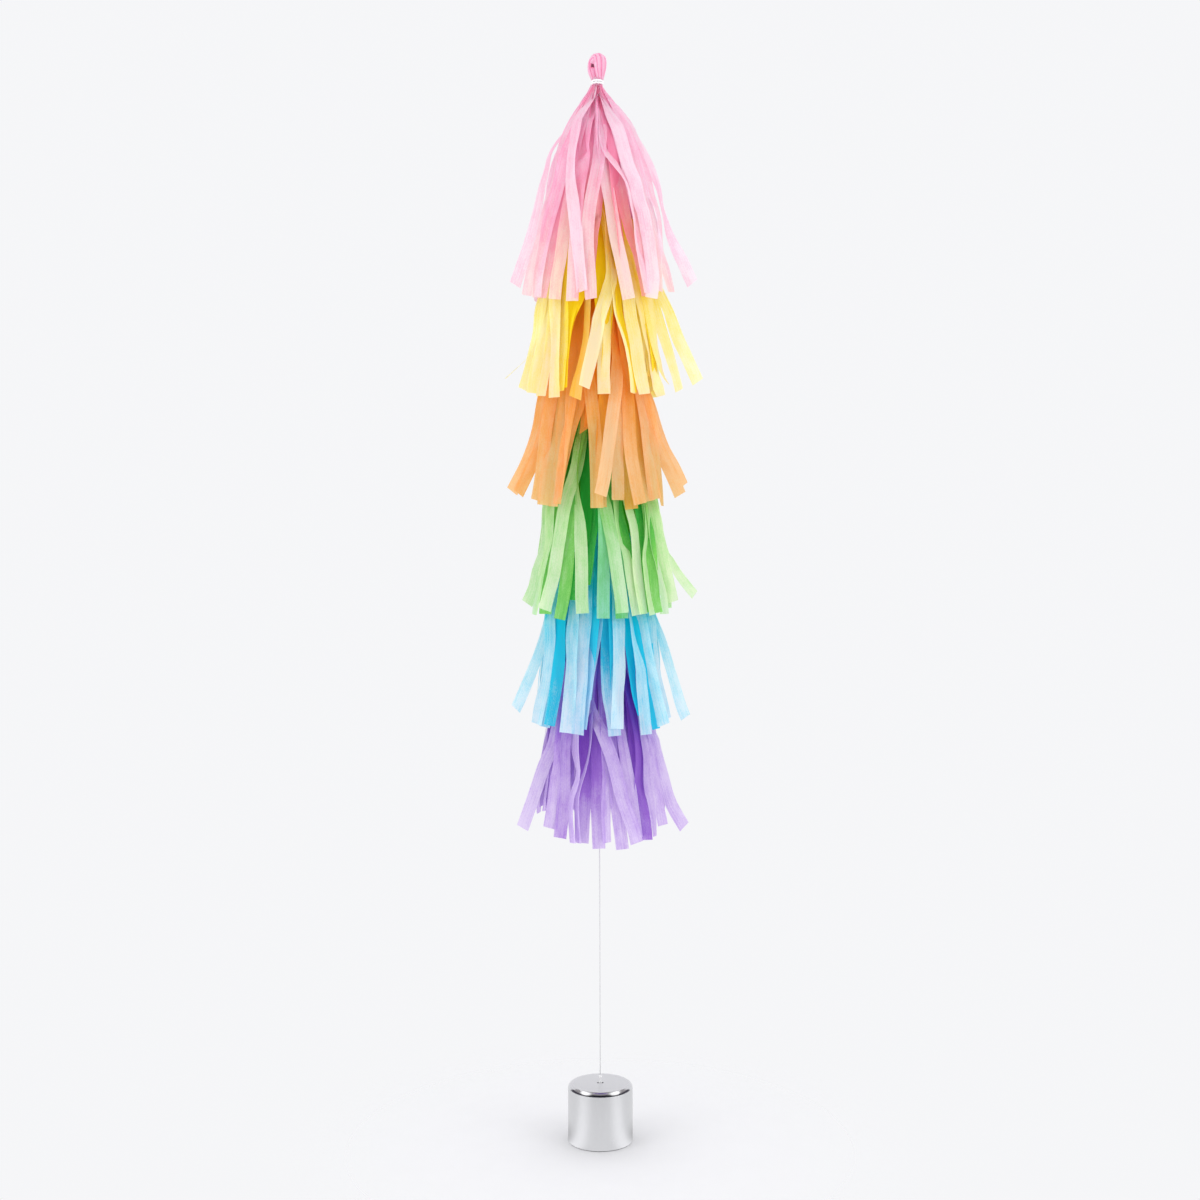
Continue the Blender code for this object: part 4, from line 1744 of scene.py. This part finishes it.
PINK_STRIPS = (
    Strip(1.0, 0.15, ((589, 93, 5), (581, 106, 6), (574, 118, 8), (570, 129, 8), (561, 137.5, 6),
        (554, 146.5, 5), (549, 158, 5), (547.5, 168, 6), (541.5, 190, 8), (535, 219, 10), (528, 249, 12),
        (515, 285, 12)), slant=2.5),
    Strip(-2.0, 0.2, ((564.5, 137.5, 8), (560, 151, 8), (557.8, 164, 8), (555, 180, 8), (549.3, 200, 9),
        (541, 234, 9), (536.5, 249, 9), (531.4, 271, 11), (527.7, 295.6, 11)), slant=1.5),
    Strip(1.5, 0.55, ((590, 97, 4), (583.4, 112, 8), (578.8, 122, 11), (576, 130, 12), (572.5, 139, 12),
        (566.5, 152, 12), (563, 166, 12), (559, 184, 12), (553.5, 203, 12), (548, 222, 12), (544.5, 243, 10),
        (541, 262, 10), (538, 282, 9), (536.5, 297, 9)), fade=0.3),
    Strip(-4.0, 1.25, ((570, 140, 10), (567, 170, 12), (563, 200, 12), (557, 225, 12), (551, 250, 12),
        (546, 272, 11), (541, 298, 10)), fade=0.8),
    Strip(-3.0, 0.45, ((572, 170, 10), (567, 212, 12), (563.7, 234, 12), (560.8, 256, 12), (556.4, 278, 12),
        (554.5, 299, 12)), slant=0.5, fade=0.3, under=0.45),
    Strip(5.0, 0.0, ((594, 95, 4), (590.8, 101, 5), (585.9, 107, 7), (581.4, 113, 8), (577, 121, 9),
        (575.5, 129, 10), (574.3, 138, 9), (572, 151, 8.5), (570.9, 164, 8.5), (570.5, 182, 10),
        (572.5, 200, 12), (575, 219, 12.4), (578.1, 249, 11), (580.3, 271, 10.5), (582, 291, 10.5)),
        slant=-1.0),
    Strip(2.5, 0.5, ((590, 98, 5), (590.4, 110, 11), (588.5, 120, 10), (587.7, 133, 7), (587.7, 146, 4),
        (588.0, 151.5, 1.5), (583, 164, 12), (580, 186, 10), (577, 215, 10), (574, 250, 11), (572, 301, 12)),
        fade=0.3, under=0.15),
    Strip(0.5, 0.75, ((590, 100, 5), (586, 116, 9), (583, 132, 11), (581, 148, 12), (580, 165, 12),
        (579, 190, 11), (577, 230, 10), (575, 270, 10), (573, 298, 10)), fade=0.5, under=0.5),
    Strip(-0.5, 0.8, ((596, 102, 5), (594, 122, 10), (592, 142, 12), (591, 160, 12), (590, 185, 12),
        (588, 215, 11), (586, 245, 8), (585, 270, 6), (584, 290, 5)), fade=0.5, under=0.7),
    Strip(3.5, 0.3, ((597.5, 97, 4), (600.5, 110, 8), (601, 128, 12), (600, 146), (598, 164), (594.5, 182),
        (590.8, 200), (588.6, 219), (587.5, 240, 12), (588.5, 262, 12), (590, 280, 12), (591, 299, 11)),
        slant=-0.5, fade=0.2, under=0.25),
    Strip(2.4, 0.35, ((595.3, 88, 3), (594.6, 96, 4.5), (595.2, 106, 5), (594.8, 118, 6), (594.2, 132, 6.5),
        (595.4, 148, 6), (597, 166, 5))),
    Strip(-1.5, 0.5, ((612, 120, 8), (620, 145, 10), (628, 175, 10), (635, 205, 10), (640, 230, 10),
        (644, 260, 9), (649, 294, 8)), under=0.3),
    Strip(-3.0, 0.95, ((608, 140, 6), (606.4, 155, 6), (602.9, 169, 6), (600.2, 187, 7), (598.5, 205, 7),
        (597, 219, 8), (594.1, 234, 8), (592.5, 249, 9), (590.8, 265, 9), (590.5, 298, 9)), fade=0.7,
        under=1.0),
    Strip(0.5, 0.05, ((603, 142, 8), (605, 172, 10), (608, 190, 12), (611, 205, 12), (613, 219), (616, 238),
        (620, 256), (624.6, 278), (629, 299)), under=0.42),
    Strip(-4.0, 0.9, ((612, 150, 8), (617, 172, 10), (621, 190, 11), (623, 205, 11), (627, 222, 10),
        (631, 238, 9), (637, 252, 9), (641, 266, 10), (644, 280, 10), (647, 296, 11)), fade=0.4, under=1.0),
    Strip(-2.0, 1.45, ((603, 104, 5), (607, 119, 9), (610, 134, 12), (612, 148, 12), (614, 165, 10),
        (615, 185, 8), (617, 210, 6), (622, 250, 6), (627, 290, 6)), fade=0.9, under=0.8),
    Strip(2.0, 0.15, ((600, 104, 4), (601, 122, 5), (602.5, 138, 6), (607.5, 152, 9), (615.5, 165, 7),
        (625, 180, 4), (629.6, 194, 3.5), (631.5, 205, 3.5), (634, 216, 3), (635.5, 227, 3), (638, 245, 5),
        (643, 270, 7), (648, 293, 8))),
    Strip(4.5, 0.0, ((602, 96, 4), (607, 107, 8), (612, 118, 11), (618, 129), (623.4, 146), (628, 164),
        (635, 182), (638.6, 200), (643, 212), (646, 226), (649, 242), (651.7, 263), (653, 280),
        (651, 298, 12))),
    Strip(1.0, 0.2, ((604, 98, 4), (613, 110, 8), (622, 122, 9), (631, 140, 10), (639, 158, 10),
        (646, 176, 10), (650, 195, 9), (655, 205, 6), (659, 219, 5), (660.5, 234, 5), (661, 250, 6),
        (665, 268, 9), (671, 292, 7))),
    Strip(0.0, 0.22, ((644, 190, 10), (650, 215, 10), (657.5, 241, 9), (658, 263, 9), (658.5, 291, 9))),
    Strip(0.5, 0.1, ((606, 98, 5), (617, 108, 7), (624.5, 117, 7), (630.5, 124, 6), (636, 137, 6),
        (642.5, 150, 8), (650, 165, 9), (656, 180, 8), (659.5, 191, 6), (661.6, 205, 4.5), (665, 219, 5.5),
        (669, 234, 9), (676, 249, 11.5), (684, 263.5), (690, 277), (693, 283.5)), slant=-3.0),
)
YELLOW_STRIPS = (
    Strip(1.0, 1.6, ((603, 205, 12), (602.5, 225, 12), (602, 250, 12), (601.5, 275, 12), (599, 298, 9),
        (598, 312, 5), (597, 325, 3))),
    Strip(-3.0, 1.6, ((596, 215, 12), (593, 240, 12), (589, 262, 12), (584, 282, 12), (578, 300, 11),
        (572, 316, 8), (569, 335, 5), (567, 360, 4))),
    Strip(0.0, 0.15, ((556, 225, 6), (551, 250, 6), (548, 280, 6), (544, 310, 5), (538, 335, 4),
        (531, 350, 2.5), (524.6, 360, 2), (515, 369.5, 1.6), (505.6, 378.4, 1.2))),
    Strip(1.5, 0.15, ((551, 250, 10), (546, 290, 12), (541, 311, 12), (539, 332, 12), (534, 353), (529, 374),
        (524.5, 390)), slant=2.0),
    Strip(-1.5, 0.2, ((556, 250, 9), (550, 290, 11), (546, 311, 11), (544, 332, 11), (540, 353, 11),
        (535, 374, 12), (532, 393, 12))),
    Strip(-0.5, 0.2, ((558, 260, 8), (553, 300, 8), (549, 335, 8), (547, 360, 8), (545, 375, 9),
        (541.5, 396, 9))),
    Strip(4.0, 0.15, ((560, 250, 9), (556.5, 275, 11), (555, 300, 12), (555, 325, 10), (555, 346, 8.5),
        (554.5, 367, 9), (554.5, 397.5, 11))),
    Strip(0.5, 0.7, ((568, 240, 7), (566, 275, 6), (565, 297, 6), (564, 325, 8), (564, 346, 8),
        (562.5, 367, 7), (561, 391, 6))),
    Strip(-1.0, 1.7, ((580, 240, 9), (576, 275, 11), (573, 300, 12), (570, 316, 9), (568.5, 332, 6),
        (567.5, 350, 4), (566.5, 368, 3), (565.5, 388, 3))),
    Strip(1.0, 0.3, ((590, 250, 6), (588, 290, 6), (587, 318, 6), (586, 335, 6), (583.5, 353, 7),
        (580, 370, 8), (577, 385, 11), (575, 398, 12)), slant=3.5, under=1.0),
    Strip(6.5, -0.1, ((606, 222, 3), (607.5, 245, 5), (610, 262, 8), (611.5, 277, 11), (608, 290),
        (603.7, 304), (599, 318), (596.8, 332), (593.7, 346), (590.5, 360), (587, 374, 12), (584, 387, 11)),
        slant=3.0),
    Strip(2.5, 0.2, ((611, 270, 8), (608, 300, 9), (606, 318, 9), (606, 335, 9), (604.5, 352, 12),
        (603.5, 370), (604, 394))),
    Strip(-1.0, 1.3, ((614, 262, 8), (612, 290, 8), (610, 305, 8), (608, 322, 8), (606.5, 340, 7),
        (605, 358, 6), (604, 380, 6)), under=0.35),
    Strip(3.5, 0.15, ((613, 280, 4), (614.5, 297, 4), (616, 313, 3.5), (618.5, 322, 3.5), (622, 332, 3.5),
        (626, 346, 3.5), (628, 357, 3.5), (631, 374, 3.5), (633, 393, 5))),
    Strip(-2.0, 1.6, ((617, 262, 6), (618.5, 291, 6), (619, 305, 6), (621, 318, 6), (625, 336, 6),
        (628, 350, 6), (631, 365, 6), (634, 392, 6))),
    Strip(4.0, 0.15, ((625, 260, 9), (627, 285, 12), (629, 304), (630.5, 318), (633.7, 332), (636.5, 346),
        (638.2, 360), (640.7, 374), (644.5, 394, 11))),
    Strip(2.0, 0.15, ((636, 290, 7), (641, 312, 6), (643, 325, 5), (646, 339, 4.5), (649.5, 353, 3),
        (652, 367, 5), (656, 378, 9), (658.5, 388, 11), (661, 396, 9))),
    Strip(-3.0, 1.4, ((633, 265, 6), (636, 285, 6), (638.5, 300, 6), (643, 311, 6), (647, 322, 6),
        (649.5, 333, 5), (651.5, 346, 5), (653.5, 360, 5), (655, 378, 5), (656, 393, 4))),
    Strip(1.0, 0.2, ((640, 275, 9), (647, 300, 11), (651, 320, 10), (655, 346, 7), (658.5, 360, 6),
        (662, 374, 4), (668.5, 384.5, 2))),
    Strip(0.0, 0.22, ((645, 270, 9), (655, 305, 11), (661, 328, 11), (666.3, 346, 10.5), (670.5, 360, 10),
        (675, 374, 9), (679.6, 390.5, 9)), slant=-1.5),
    Strip(2.0, 0.1, ((648, 268, 10), (655, 285, 11), (661, 297, 11), (668, 311, 11), (673.3, 325, 12),
        (678.6, 339), (685.3, 353), (691.2, 367), (697.5, 382)), slant=-2.5),
)
ORANGE_STRIPS = (
    Strip(6.0, 0.55, ((583, 300, 4), (581, 315, 8), (578, 333, 12), (575.5, 352), (573.5, 372),
        (571.5, 392, 12), (569.5, 415, 9), (567, 440, 6), (563, 470, 4.5), (559, 498, 4)), fade=0.15),
    Strip(-1.0, 1.25, ((597, 300, 8), (595.5, 330, 11), (594.5, 358), (593.5, 382), (592, 403), (590.5, 424)),
        slant=-9.0),
    Strip(-3.0, 1.1, ((586, 310, 8), (588, 340, 11), (589, 370, 12), (589, 390, 12), (587.5, 412, 12),
        (586, 430, 12)), slant=-9.0),
    Strip(1.0, 0.45, ((549, 375, 9), (545, 390, 10), (542, 402.5, 11), (538.3, 425.4, 12), (533, 445.3, 12),
        (525.3, 466.7), (512.5, 491.5)), slant=2.0, fade=0.3),
    Strip(-2.0, 0.5, ((551, 385, 9), (546, 420, 11), (539, 446, 11), (531, 468, 12), (518.5, 493.5, 12)),
        slant=2.0),
    Strip(2.0, 0.55, ((555, 380, 10), (550, 405, 12), (546, 433, 12), (542.9, 463.7), (536.7, 500.4)),
        slant=1.5, fade=0.2),
    Strip(-2.0, 0.6, ((560, 390, 10), (555, 430, 11), (548, 463.7, 12), (543.6, 505, 12)), slant=0.5,
        fade=0.3, under=0.2),
    Strip(1.0, 0.45, ((566, 385, 10), (565.8, 402.5, 12), (562.8, 425.4, 12), (559.7, 448.4, 10),
        (557.5, 471.3, 10), (553.5, 506.5, 9))),
    Strip(3.0, 0.55, ((582, 375, 9), (579.6, 399.4, 12), (573.5, 417.8), (568.9, 433), (564.3, 456, 11),
        (560, 479, 9), (556.5, 504, 8))),
    Strip(4.5, 0.4, ((588, 365, 9), (590.3, 390), (592.6, 410), (594.9, 433), (595.7, 456, 12),
        (596.4, 479, 12), (597, 508)), under=0.5),
    Strip(12.0, 0.0, ((612, 312, 4), (613.5, 335, 6), (616.5, 360, 9), (616.3, 387), (613.3, 410),
        (610.2, 433), (607.1, 456, 11.5), (604, 479), (600.5, 495)), slant=1.5),
    Strip(1.0, 1.3, ((610, 345, 8), (607, 380, 11), (604, 402, 11), (602, 425, 10), (601, 445, 10),
        (601, 507, 11)), fade=0.9, under=0.3),
    Strip(3.0, 0.3, ((622, 385, 9), (621, 410, 10), (619.4, 433, 10), (617.6, 456, 10.5), (617.9, 479, 12),
        (618.2, 500, 12))),
    Strip(7.5, 0.5, ((617, 313, 5), (622, 345, 6), (627, 380, 10), (628.9, 410), (629.3, 433), (631.2, 456),
        (635.5, 479), (640.5, 504)), slant=-0.5),
    Strip(-1.5, 0.75, ((620, 390, 9), (623, 440, 11), (626, 463.7, 11), (629, 485, 12), (632, 509)),
        under=0.75),
    Strip(1.5, 0.2, ((638, 385, 9), (643.9, 417.8, 9), (646.9, 448.4, 9), (650.8, 471.3, 11),
        (655.4, 499, 12)), under=0.1),
    Strip(3.0, 0.45, ((640, 375, 10), (646, 402.5), (651, 425), (658, 446), (666.8, 463.7), (673.7, 479),
        (679.9, 495)), slant=-2.0, fade=0.3),
    Strip(-1.0, 0.2, ((643, 385, 10), (650, 405, 11), (657, 430, 11), (665, 450, 11), (675, 468, 12),
        (684, 486, 11)), slant=-2.0),
    Strip(0.5, 0.4, ((644, 390, 9), (651, 425, 9), (654.6, 445, 8), (658.4, 471, 7), (660.7, 494, 5),
        (662, 506, 3))),
    Strip(-1.0, 1.1, ((634, 385, 10), (638, 430, 10), (641, 460, 10), (646, 485, 10), (650, 501, 10)),
        fade=0.6),
)
GREEN_STRIPS = (
    Strip(1.0, 0.35, ((549, 490, 8), (546.5, 512, 9), (545.6, 529.8, 9), (543.4, 549.7, 9),
        (537.3, 569.6, 10), (534, 587.8, 11), (527.4, 603.5, 12)), slant=2.0, fade=0.2),
    Strip(2.0, 0.15, ((552, 490, 8), (549.8, 516.5, 9), (548.9, 538, 8), (544.8, 559.6, 5), (540.6, 579.5, 5),
        (537.3, 599.4, 6), (534.8, 614.7, 5))),
    Strip(6.0, 0.05, ((583, 418, 6), (582, 433, 10), (579.6, 448), (577.5, 464), (573.5, 479), (567.2, 496.6),
        (563, 513.2), (560.5, 529.8), (558, 546.3), (555.9, 562.9), (553, 579.5), (548, 596), (544.4, 610)),
        slant=1.0),
    Strip(-3.0, 0.9, ((556, 500, 9), (553, 530, 10), (549, 560, 11), (546, 590, 12), (545, 614, 12))),
    Strip(-1.0, 0.9, ((574, 495, 8), (571.3, 521.5, 9), (569.7, 546.3, 10), (567.2, 571, 12),
        (563.8, 596, 12), (559.2, 619.3, 11))),
    Strip(4.0, 0.25, ((576, 470, 4), (576.5, 490, 5), (578, 505, 7), (579.9, 521.5, 10.5), (580.9, 546.3),
        (581.6, 571), (581.8, 596), (582.6, 613.5))),
    Strip(-3.5, 1.5, ((598, 480, 9), (596, 500, 9), (594.5, 521.5, 9), (590.9, 543, 9), (590, 563, 7),
        (588, 585, 5)), under=0.7),
    Strip(-5.5, 1.8, ((585, 455, 9), (586, 485, 11), (586, 505, 11), (586, 530, 9), (577, 560, 9),
        (572, 600, 9))),
    Strip(2.0, 0.35, ((600, 485, 6), (600, 510, 4), (601.5, 530, 6), (603.2, 554.6, 10), (603.6, 579.5, 12),
        (603.2, 604.4), (603.2, 618.5)), under=0.8),
    Strip(5.5, 0.25, ((601, 480, 8), (603, 495, 10), (606.1, 510), (610.3, 530), (613.6, 546.3), (615.8, 563),
        (618, 579.5), (620.6, 596), (622.4, 613)), under=0.15),
    Strip(-1.0, 0.7, ((608, 500, 10), (614, 540, 11), (619, 570, 12), (621, 595, 12), (622, 618.5)),
        under=0.7),
    Strip(-2.0, 1.45, ((616, 490, 8), (618.6, 513, 9), (623.5, 530, 9), (628.5, 550, 8), (630, 570, 7),
        (634, 600, 6))),
    Strip(2.5, 0.15, ((617, 520, 4), (621.9, 543, 5), (626.9, 554.6, 8), (629.4, 571, 9), (631.8, 587.8, 9),
        (637.6, 615, 11))),
    Strip(4.0, 0.1, ((624, 490, 7), (629.4, 511.5, 8), (633.5, 526.4, 8), (636, 546.3, 8), (637.6, 571, 9),
        (639.8, 589.5, 9), (643.4, 614, 8))),
    Strip(-2.0, 1.45, ((635, 495, 7), (640, 520, 7), (642, 550, 7), (645, 580, 7), (650, 612, 7))),
    Strip(-0.5, 1.25, ((647, 500, 7), (649.5, 530, 9), (651, 555, 11), (652, 580, 12), (654.5, 600, 12),
        (657, 613, 12)), fade=0.3),
    Strip(3.0, 0.22, ((645, 500, 5), (646.8, 521.5, 4), (646.8, 538, 4), (644.6, 554.6, 4), (646, 573, 5),
        (648.5, 596, 5), (652, 615, 6))),
    Strip(2.5, 0.1, ((648, 490, 9), (651.7, 505, 11), (655.9, 521.5, 12), (658.4, 538, 12), (662.5, 554.6),
        (665.8, 571), (669, 587.8), (672, 602, 12)), slant=-1.0),
    Strip(1.5, 0.15, ((648, 510, 4), (653, 546.3, 4), (657, 563, 4), (660.5, 579.5, 5), (663.5, 596, 7),
        (664.5, 614, 9))),
    Strip(-2.0, 0.4, ((652, 500, 9), (658, 530, 9), (661, 560, 9), (666, 585, 10), (667, 608, 10))),
    Strip(0.5, 0.15, ((653, 490, 6), (659, 525, 6), (666.7, 553, 6), (672.5, 563, 8), (679, 574.5, 9),
        (687.4, 586, 9.5), (694.4, 595, 9.5)), slant=-2.0),
)
BLUE_STRIPS = (
    Strip(1.0, 1.0, ((598, 540, 7), (596, 562, 11), (595, 585, 12), (594, 605, 12), (594, 630, 9),
        (592, 665, 6), (589, 700, 5)), fade=0.6),
    Strip(0.2, 1.0, ((606, 545, 6), (610, 575, 10), (612, 600, 11), (613, 620, 9), (612, 650, 5),
        (612, 690, 4))),
    Strip(0.5, 0.05, ((552, 600, 8), (548, 621, 9), (544, 637.5, 9), (537.3, 659, 10), (527.4, 682.3, 11),
        (515.3, 709, 11)), slant=2.5),
    Strip(1.5, 0.15, ((552, 600, 9), (549.8, 621, 11), (549.8, 637.5, 11), (548, 659, 10), (545.6, 682.3, 10),
        (540.6, 704, 11), (536.5, 724, 10)), slant=1.0),
    Strip(-3.0, 0.9, ((558, 600, 9), (556, 640, 10), (552, 670, 10), (549, 700, 11), (545, 727, 10)),
        fade=0.4),
    Strip(0.0, 1.55, ((563, 600, 8), (560.5, 629.3, 9), (559.7, 645.8, 10), (558.9, 662.4, 12),
        (557.2, 679, 12), (554.7, 695.6, 12), (549, 725.4, 11)), fade=0.7),
    Strip(4.0, 0.15, ((575, 600, 9), (573, 621, 11), (571.6, 637.5, 12), (571.6, 662.4, 10),
        (570.5, 687.3, 12), (568, 712), (565.5, 733))),
    Strip(2.0, 0.15, ((587, 598, 10), (585.5, 621, 12), (583.6, 637.5, 12), (582, 659, 12), (581.3, 679, 12),
        (579.6, 700.6, 12), (577.5, 734.6, 12)), slant=1.0, under=0.15),
    Strip(0.0, 0.35, ((599, 600, 9), (597.8, 621, 10), (595.9, 637.5, 10), (593.7, 654, 9), (590.9, 670.7, 8),
        (587, 695.6, 8), (582.5, 729, 8)), under=0.5),
    Strip(0.5, 1.0, ((606, 590, 8), (606, 629, 9), (606.1, 645.8, 10), (607, 670.7, 12), (608.6, 695.6),
        (612.8, 717), (615, 736)), fade=0.85, under=0.2),
    Strip(4.5, 0.0, ((617, 598, 9), (618.6, 621, 12), (618.9, 645.8, 11), (619.4, 670.7, 12),
        (618, 695.6, 11), (617, 729))),
    Strip(-1.0, 1.7, ((625, 590, 9), (628, 615, 12), (629, 630, 12), (630.5, 654, 9), (632.7, 679, 6),
        (635, 695.6, 5), (640, 715, 4))),
    Strip(0.0, 1.5, ((630, 600, 9), (635, 625, 11), (638, 645, 11), (642, 665, 9), (645, 690, 8),
        (648, 725, 8)), fade=0.3),
    Strip(3.5, 0.2, ((628, 600, 4), (631.5, 622, 3), (633.5, 638, 4), (637, 654, 6.5), (640.3, 668, 9.5),
        (641.8, 684, 10.5), (644, 705, 11), (646.3, 734.6, 11))),
    Strip(2.0, 0.15, ((636, 600, 9), (640.5, 621), (645, 646), (652, 676), (657, 700), (663.3, 725)),
        slant=-1.5),
    Strip(0.5, 0.2, ((645, 600, 9), (651, 621, 10), (652, 646, 10), (656, 676, 10), (662, 700, 11),
        (665.5, 719, 12)), slant=-1.0),
    Strip(-1.5, 1.3, ((643, 610, 9), (648, 650, 10), (650, 680, 9), (653, 705, 9), (656, 729, 8))),
    Strip(0.5, 0.15, ((650, 605, 6), (655.9, 621, 6), (661.2, 637.5, 8), (665.5, 654, 9.5),
        (670.5, 670.7, 9.5), (675.8, 687.3, 10.5), (681, 704, 11), (686, 717.5, 11)), slant=-2.0),
)
PURPLE_STRIPS = (
    Strip(0.5, 0.05, ((560, 705, 9), (556, 731, 11), (552.9, 747, 12), (544.9, 764.3), (537.5, 784.4),
        (530, 806), (522.8, 828)), slant=2.5),
    Strip(2.5, 0.3, ((564, 705, 10), (561, 740, 12), (560.3, 760.3), (556.2, 780.4), (553.6, 800.4),
        (549.6, 828)), slant=1.5),
    Strip(0.5, 0.45, ((568, 720, 10), (565, 750, 11), (564.3, 780, 12), (562.9, 807), (560, 838)), slant=1.0),
    Strip(3.0, 0.15, ((576, 710, 8), (575, 733, 8), (575.5, 753, 7), (578.5, 773, 4), (575, 787, 5),
        (571, 800, 5), (570.5, 820, 5), (573, 843, 6))),
    Strip(2.0, 0.22, ((590, 745, 2), (585, 770, 2.5), (580, 785, 3), (577, 800, 4), (577, 820, 5),
        (578, 843, 6))),
    Strip(-3.0, 1.6, ((588, 700, 10), (584.4, 740, 12), (585, 767, 12), (585, 793.7, 12), (583.7, 820.5, 12),
        (583, 843, 11)), fade=1.3),
    Strip(-1.0, 1.15, ((592, 700, 9), (595.8, 740, 11), (595.8, 767, 12), (596.4, 793.7, 12), (597.8, 820.5),
        (599, 848.7)), fade=0.8),
    Strip(5.5, 0.1, ((590, 700, 8), (596.4, 720, 10), (602.5, 733.5, 12), (607.8, 747), (612.5, 760.3),
        (616.5, 775), (621, 793.7), (626.6, 811), (632.6, 827), (636.6, 843)), slant=-1.5),
    Strip(2.5, 0.3, ((618, 705, 8), (621.9, 738.8, 9), (624.5, 753.6, 10), (627.2, 769.6, 11),
        (630.6, 787, 11), (634, 815, 11), (637, 838, 11))),
    Strip(1.5, 0.35, ((604, 735, 7), (607, 775, 9), (606.5, 793.7, 10), (605.8, 813.8, 9), (607, 843, 8)),
        fade=0.2),
    Strip(0.0, 0.3, ((612, 740, 9), (614, 775, 10), (616, 800, 11), (619, 820.5), (622.5, 849.3))),
    Strip(-2.5, 1.6, ((630, 700, 8), (633, 740, 9), (635, 775, 9), (640, 805, 9), (645, 836, 9)), fade=0.8),
    Strip(1.0, 1.25, ((632, 705, 7), (638, 735, 8), (639.3, 760.3, 8), (638.6, 780.4, 8), (640.6, 800.4, 11),
        (644.6, 820.5), (646, 840)), fade=0.3),
    Strip(3.0, 0.15, ((640, 710, 6), (644, 736, 7), (647.3, 753.6, 9), (648.3, 769.6, 10), (648.7, 785.7, 10),
        (652, 800.4, 9), (654, 817, 6), (655, 836, 4))),
    Strip(0.0, 0.2, ((648, 720, 8), (653, 745, 7), (656, 767, 6), (658, 787, 7), (660, 807, 9),
        (662.7, 825, 10))),
    Strip(0.5, 0.1, ((643, 710, 8), (650, 729.5, 9), (654.7, 740, 10), (657, 753.6, 11), (660, 767, 12),
        (663.7, 780.4, 11.5), (667.4, 793.7, 11), (672, 806, 12), (684.8, 827, 12)), slant=-2.5),
)

# Each tassel's colour, height of its eye, tissue and traced strips
TASSELS = (
    ("pink", 0.0, PINK, PINK_STRIPS),
    ("yellow", -0.092, YELLOW, YELLOW_STRIPS),
    ("orange", -0.191, ORANGE, ORANGE_STRIPS),
    ("green", -0.292, GREEN, GREEN_STRIPS),
    ("blue", -0.399, BLUE, BLUE_STRIPS),
    ("purple", -0.504, PURPLE, PURPLE_STRIPS),
)
EYE_TO_TIE = 0.0148
EYE_TO_PIVOT = 0.0136
# Extra tone near each fringe's top: the gathered plies for the pink, and painted shade under the hem above
# for the others.
TOP_GATHERING = 0.10
HEM_SHADE_AND_GATHERING = 0.85


def main() -> None:
    """Build the camera, the cords, each tassel, the weight and the studio."""
    VIEW.build_camera()
    Cords().build()
    bodies = [f"{colour}_tassel" for colour, *_ in TASSELS] + ["long_cord"]
    for number, (colour, eye, tissue, strips) in enumerate(TASSELS):
        body = bodies[number]
        tie = eye - EYE_TO_TIE
        Bundle(colour, body, eye, tie, tissue).build()
        Thread(colour, body, tie).build()
        if number:
            Hanger(colour, body, eye + EYE_TO_PIVOT).build()
        fringe = Fringe(colour, tie, tissue, strips, HEM_SHADE_AND_GATHERING if number else TOP_GATHERING).build()
        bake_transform(fringe)
    Weight().build()
    Studio().build()


if __name__ == "__main__":
    logging.basicConfig(level=logging.INFO, format="%(message)s")
    main()
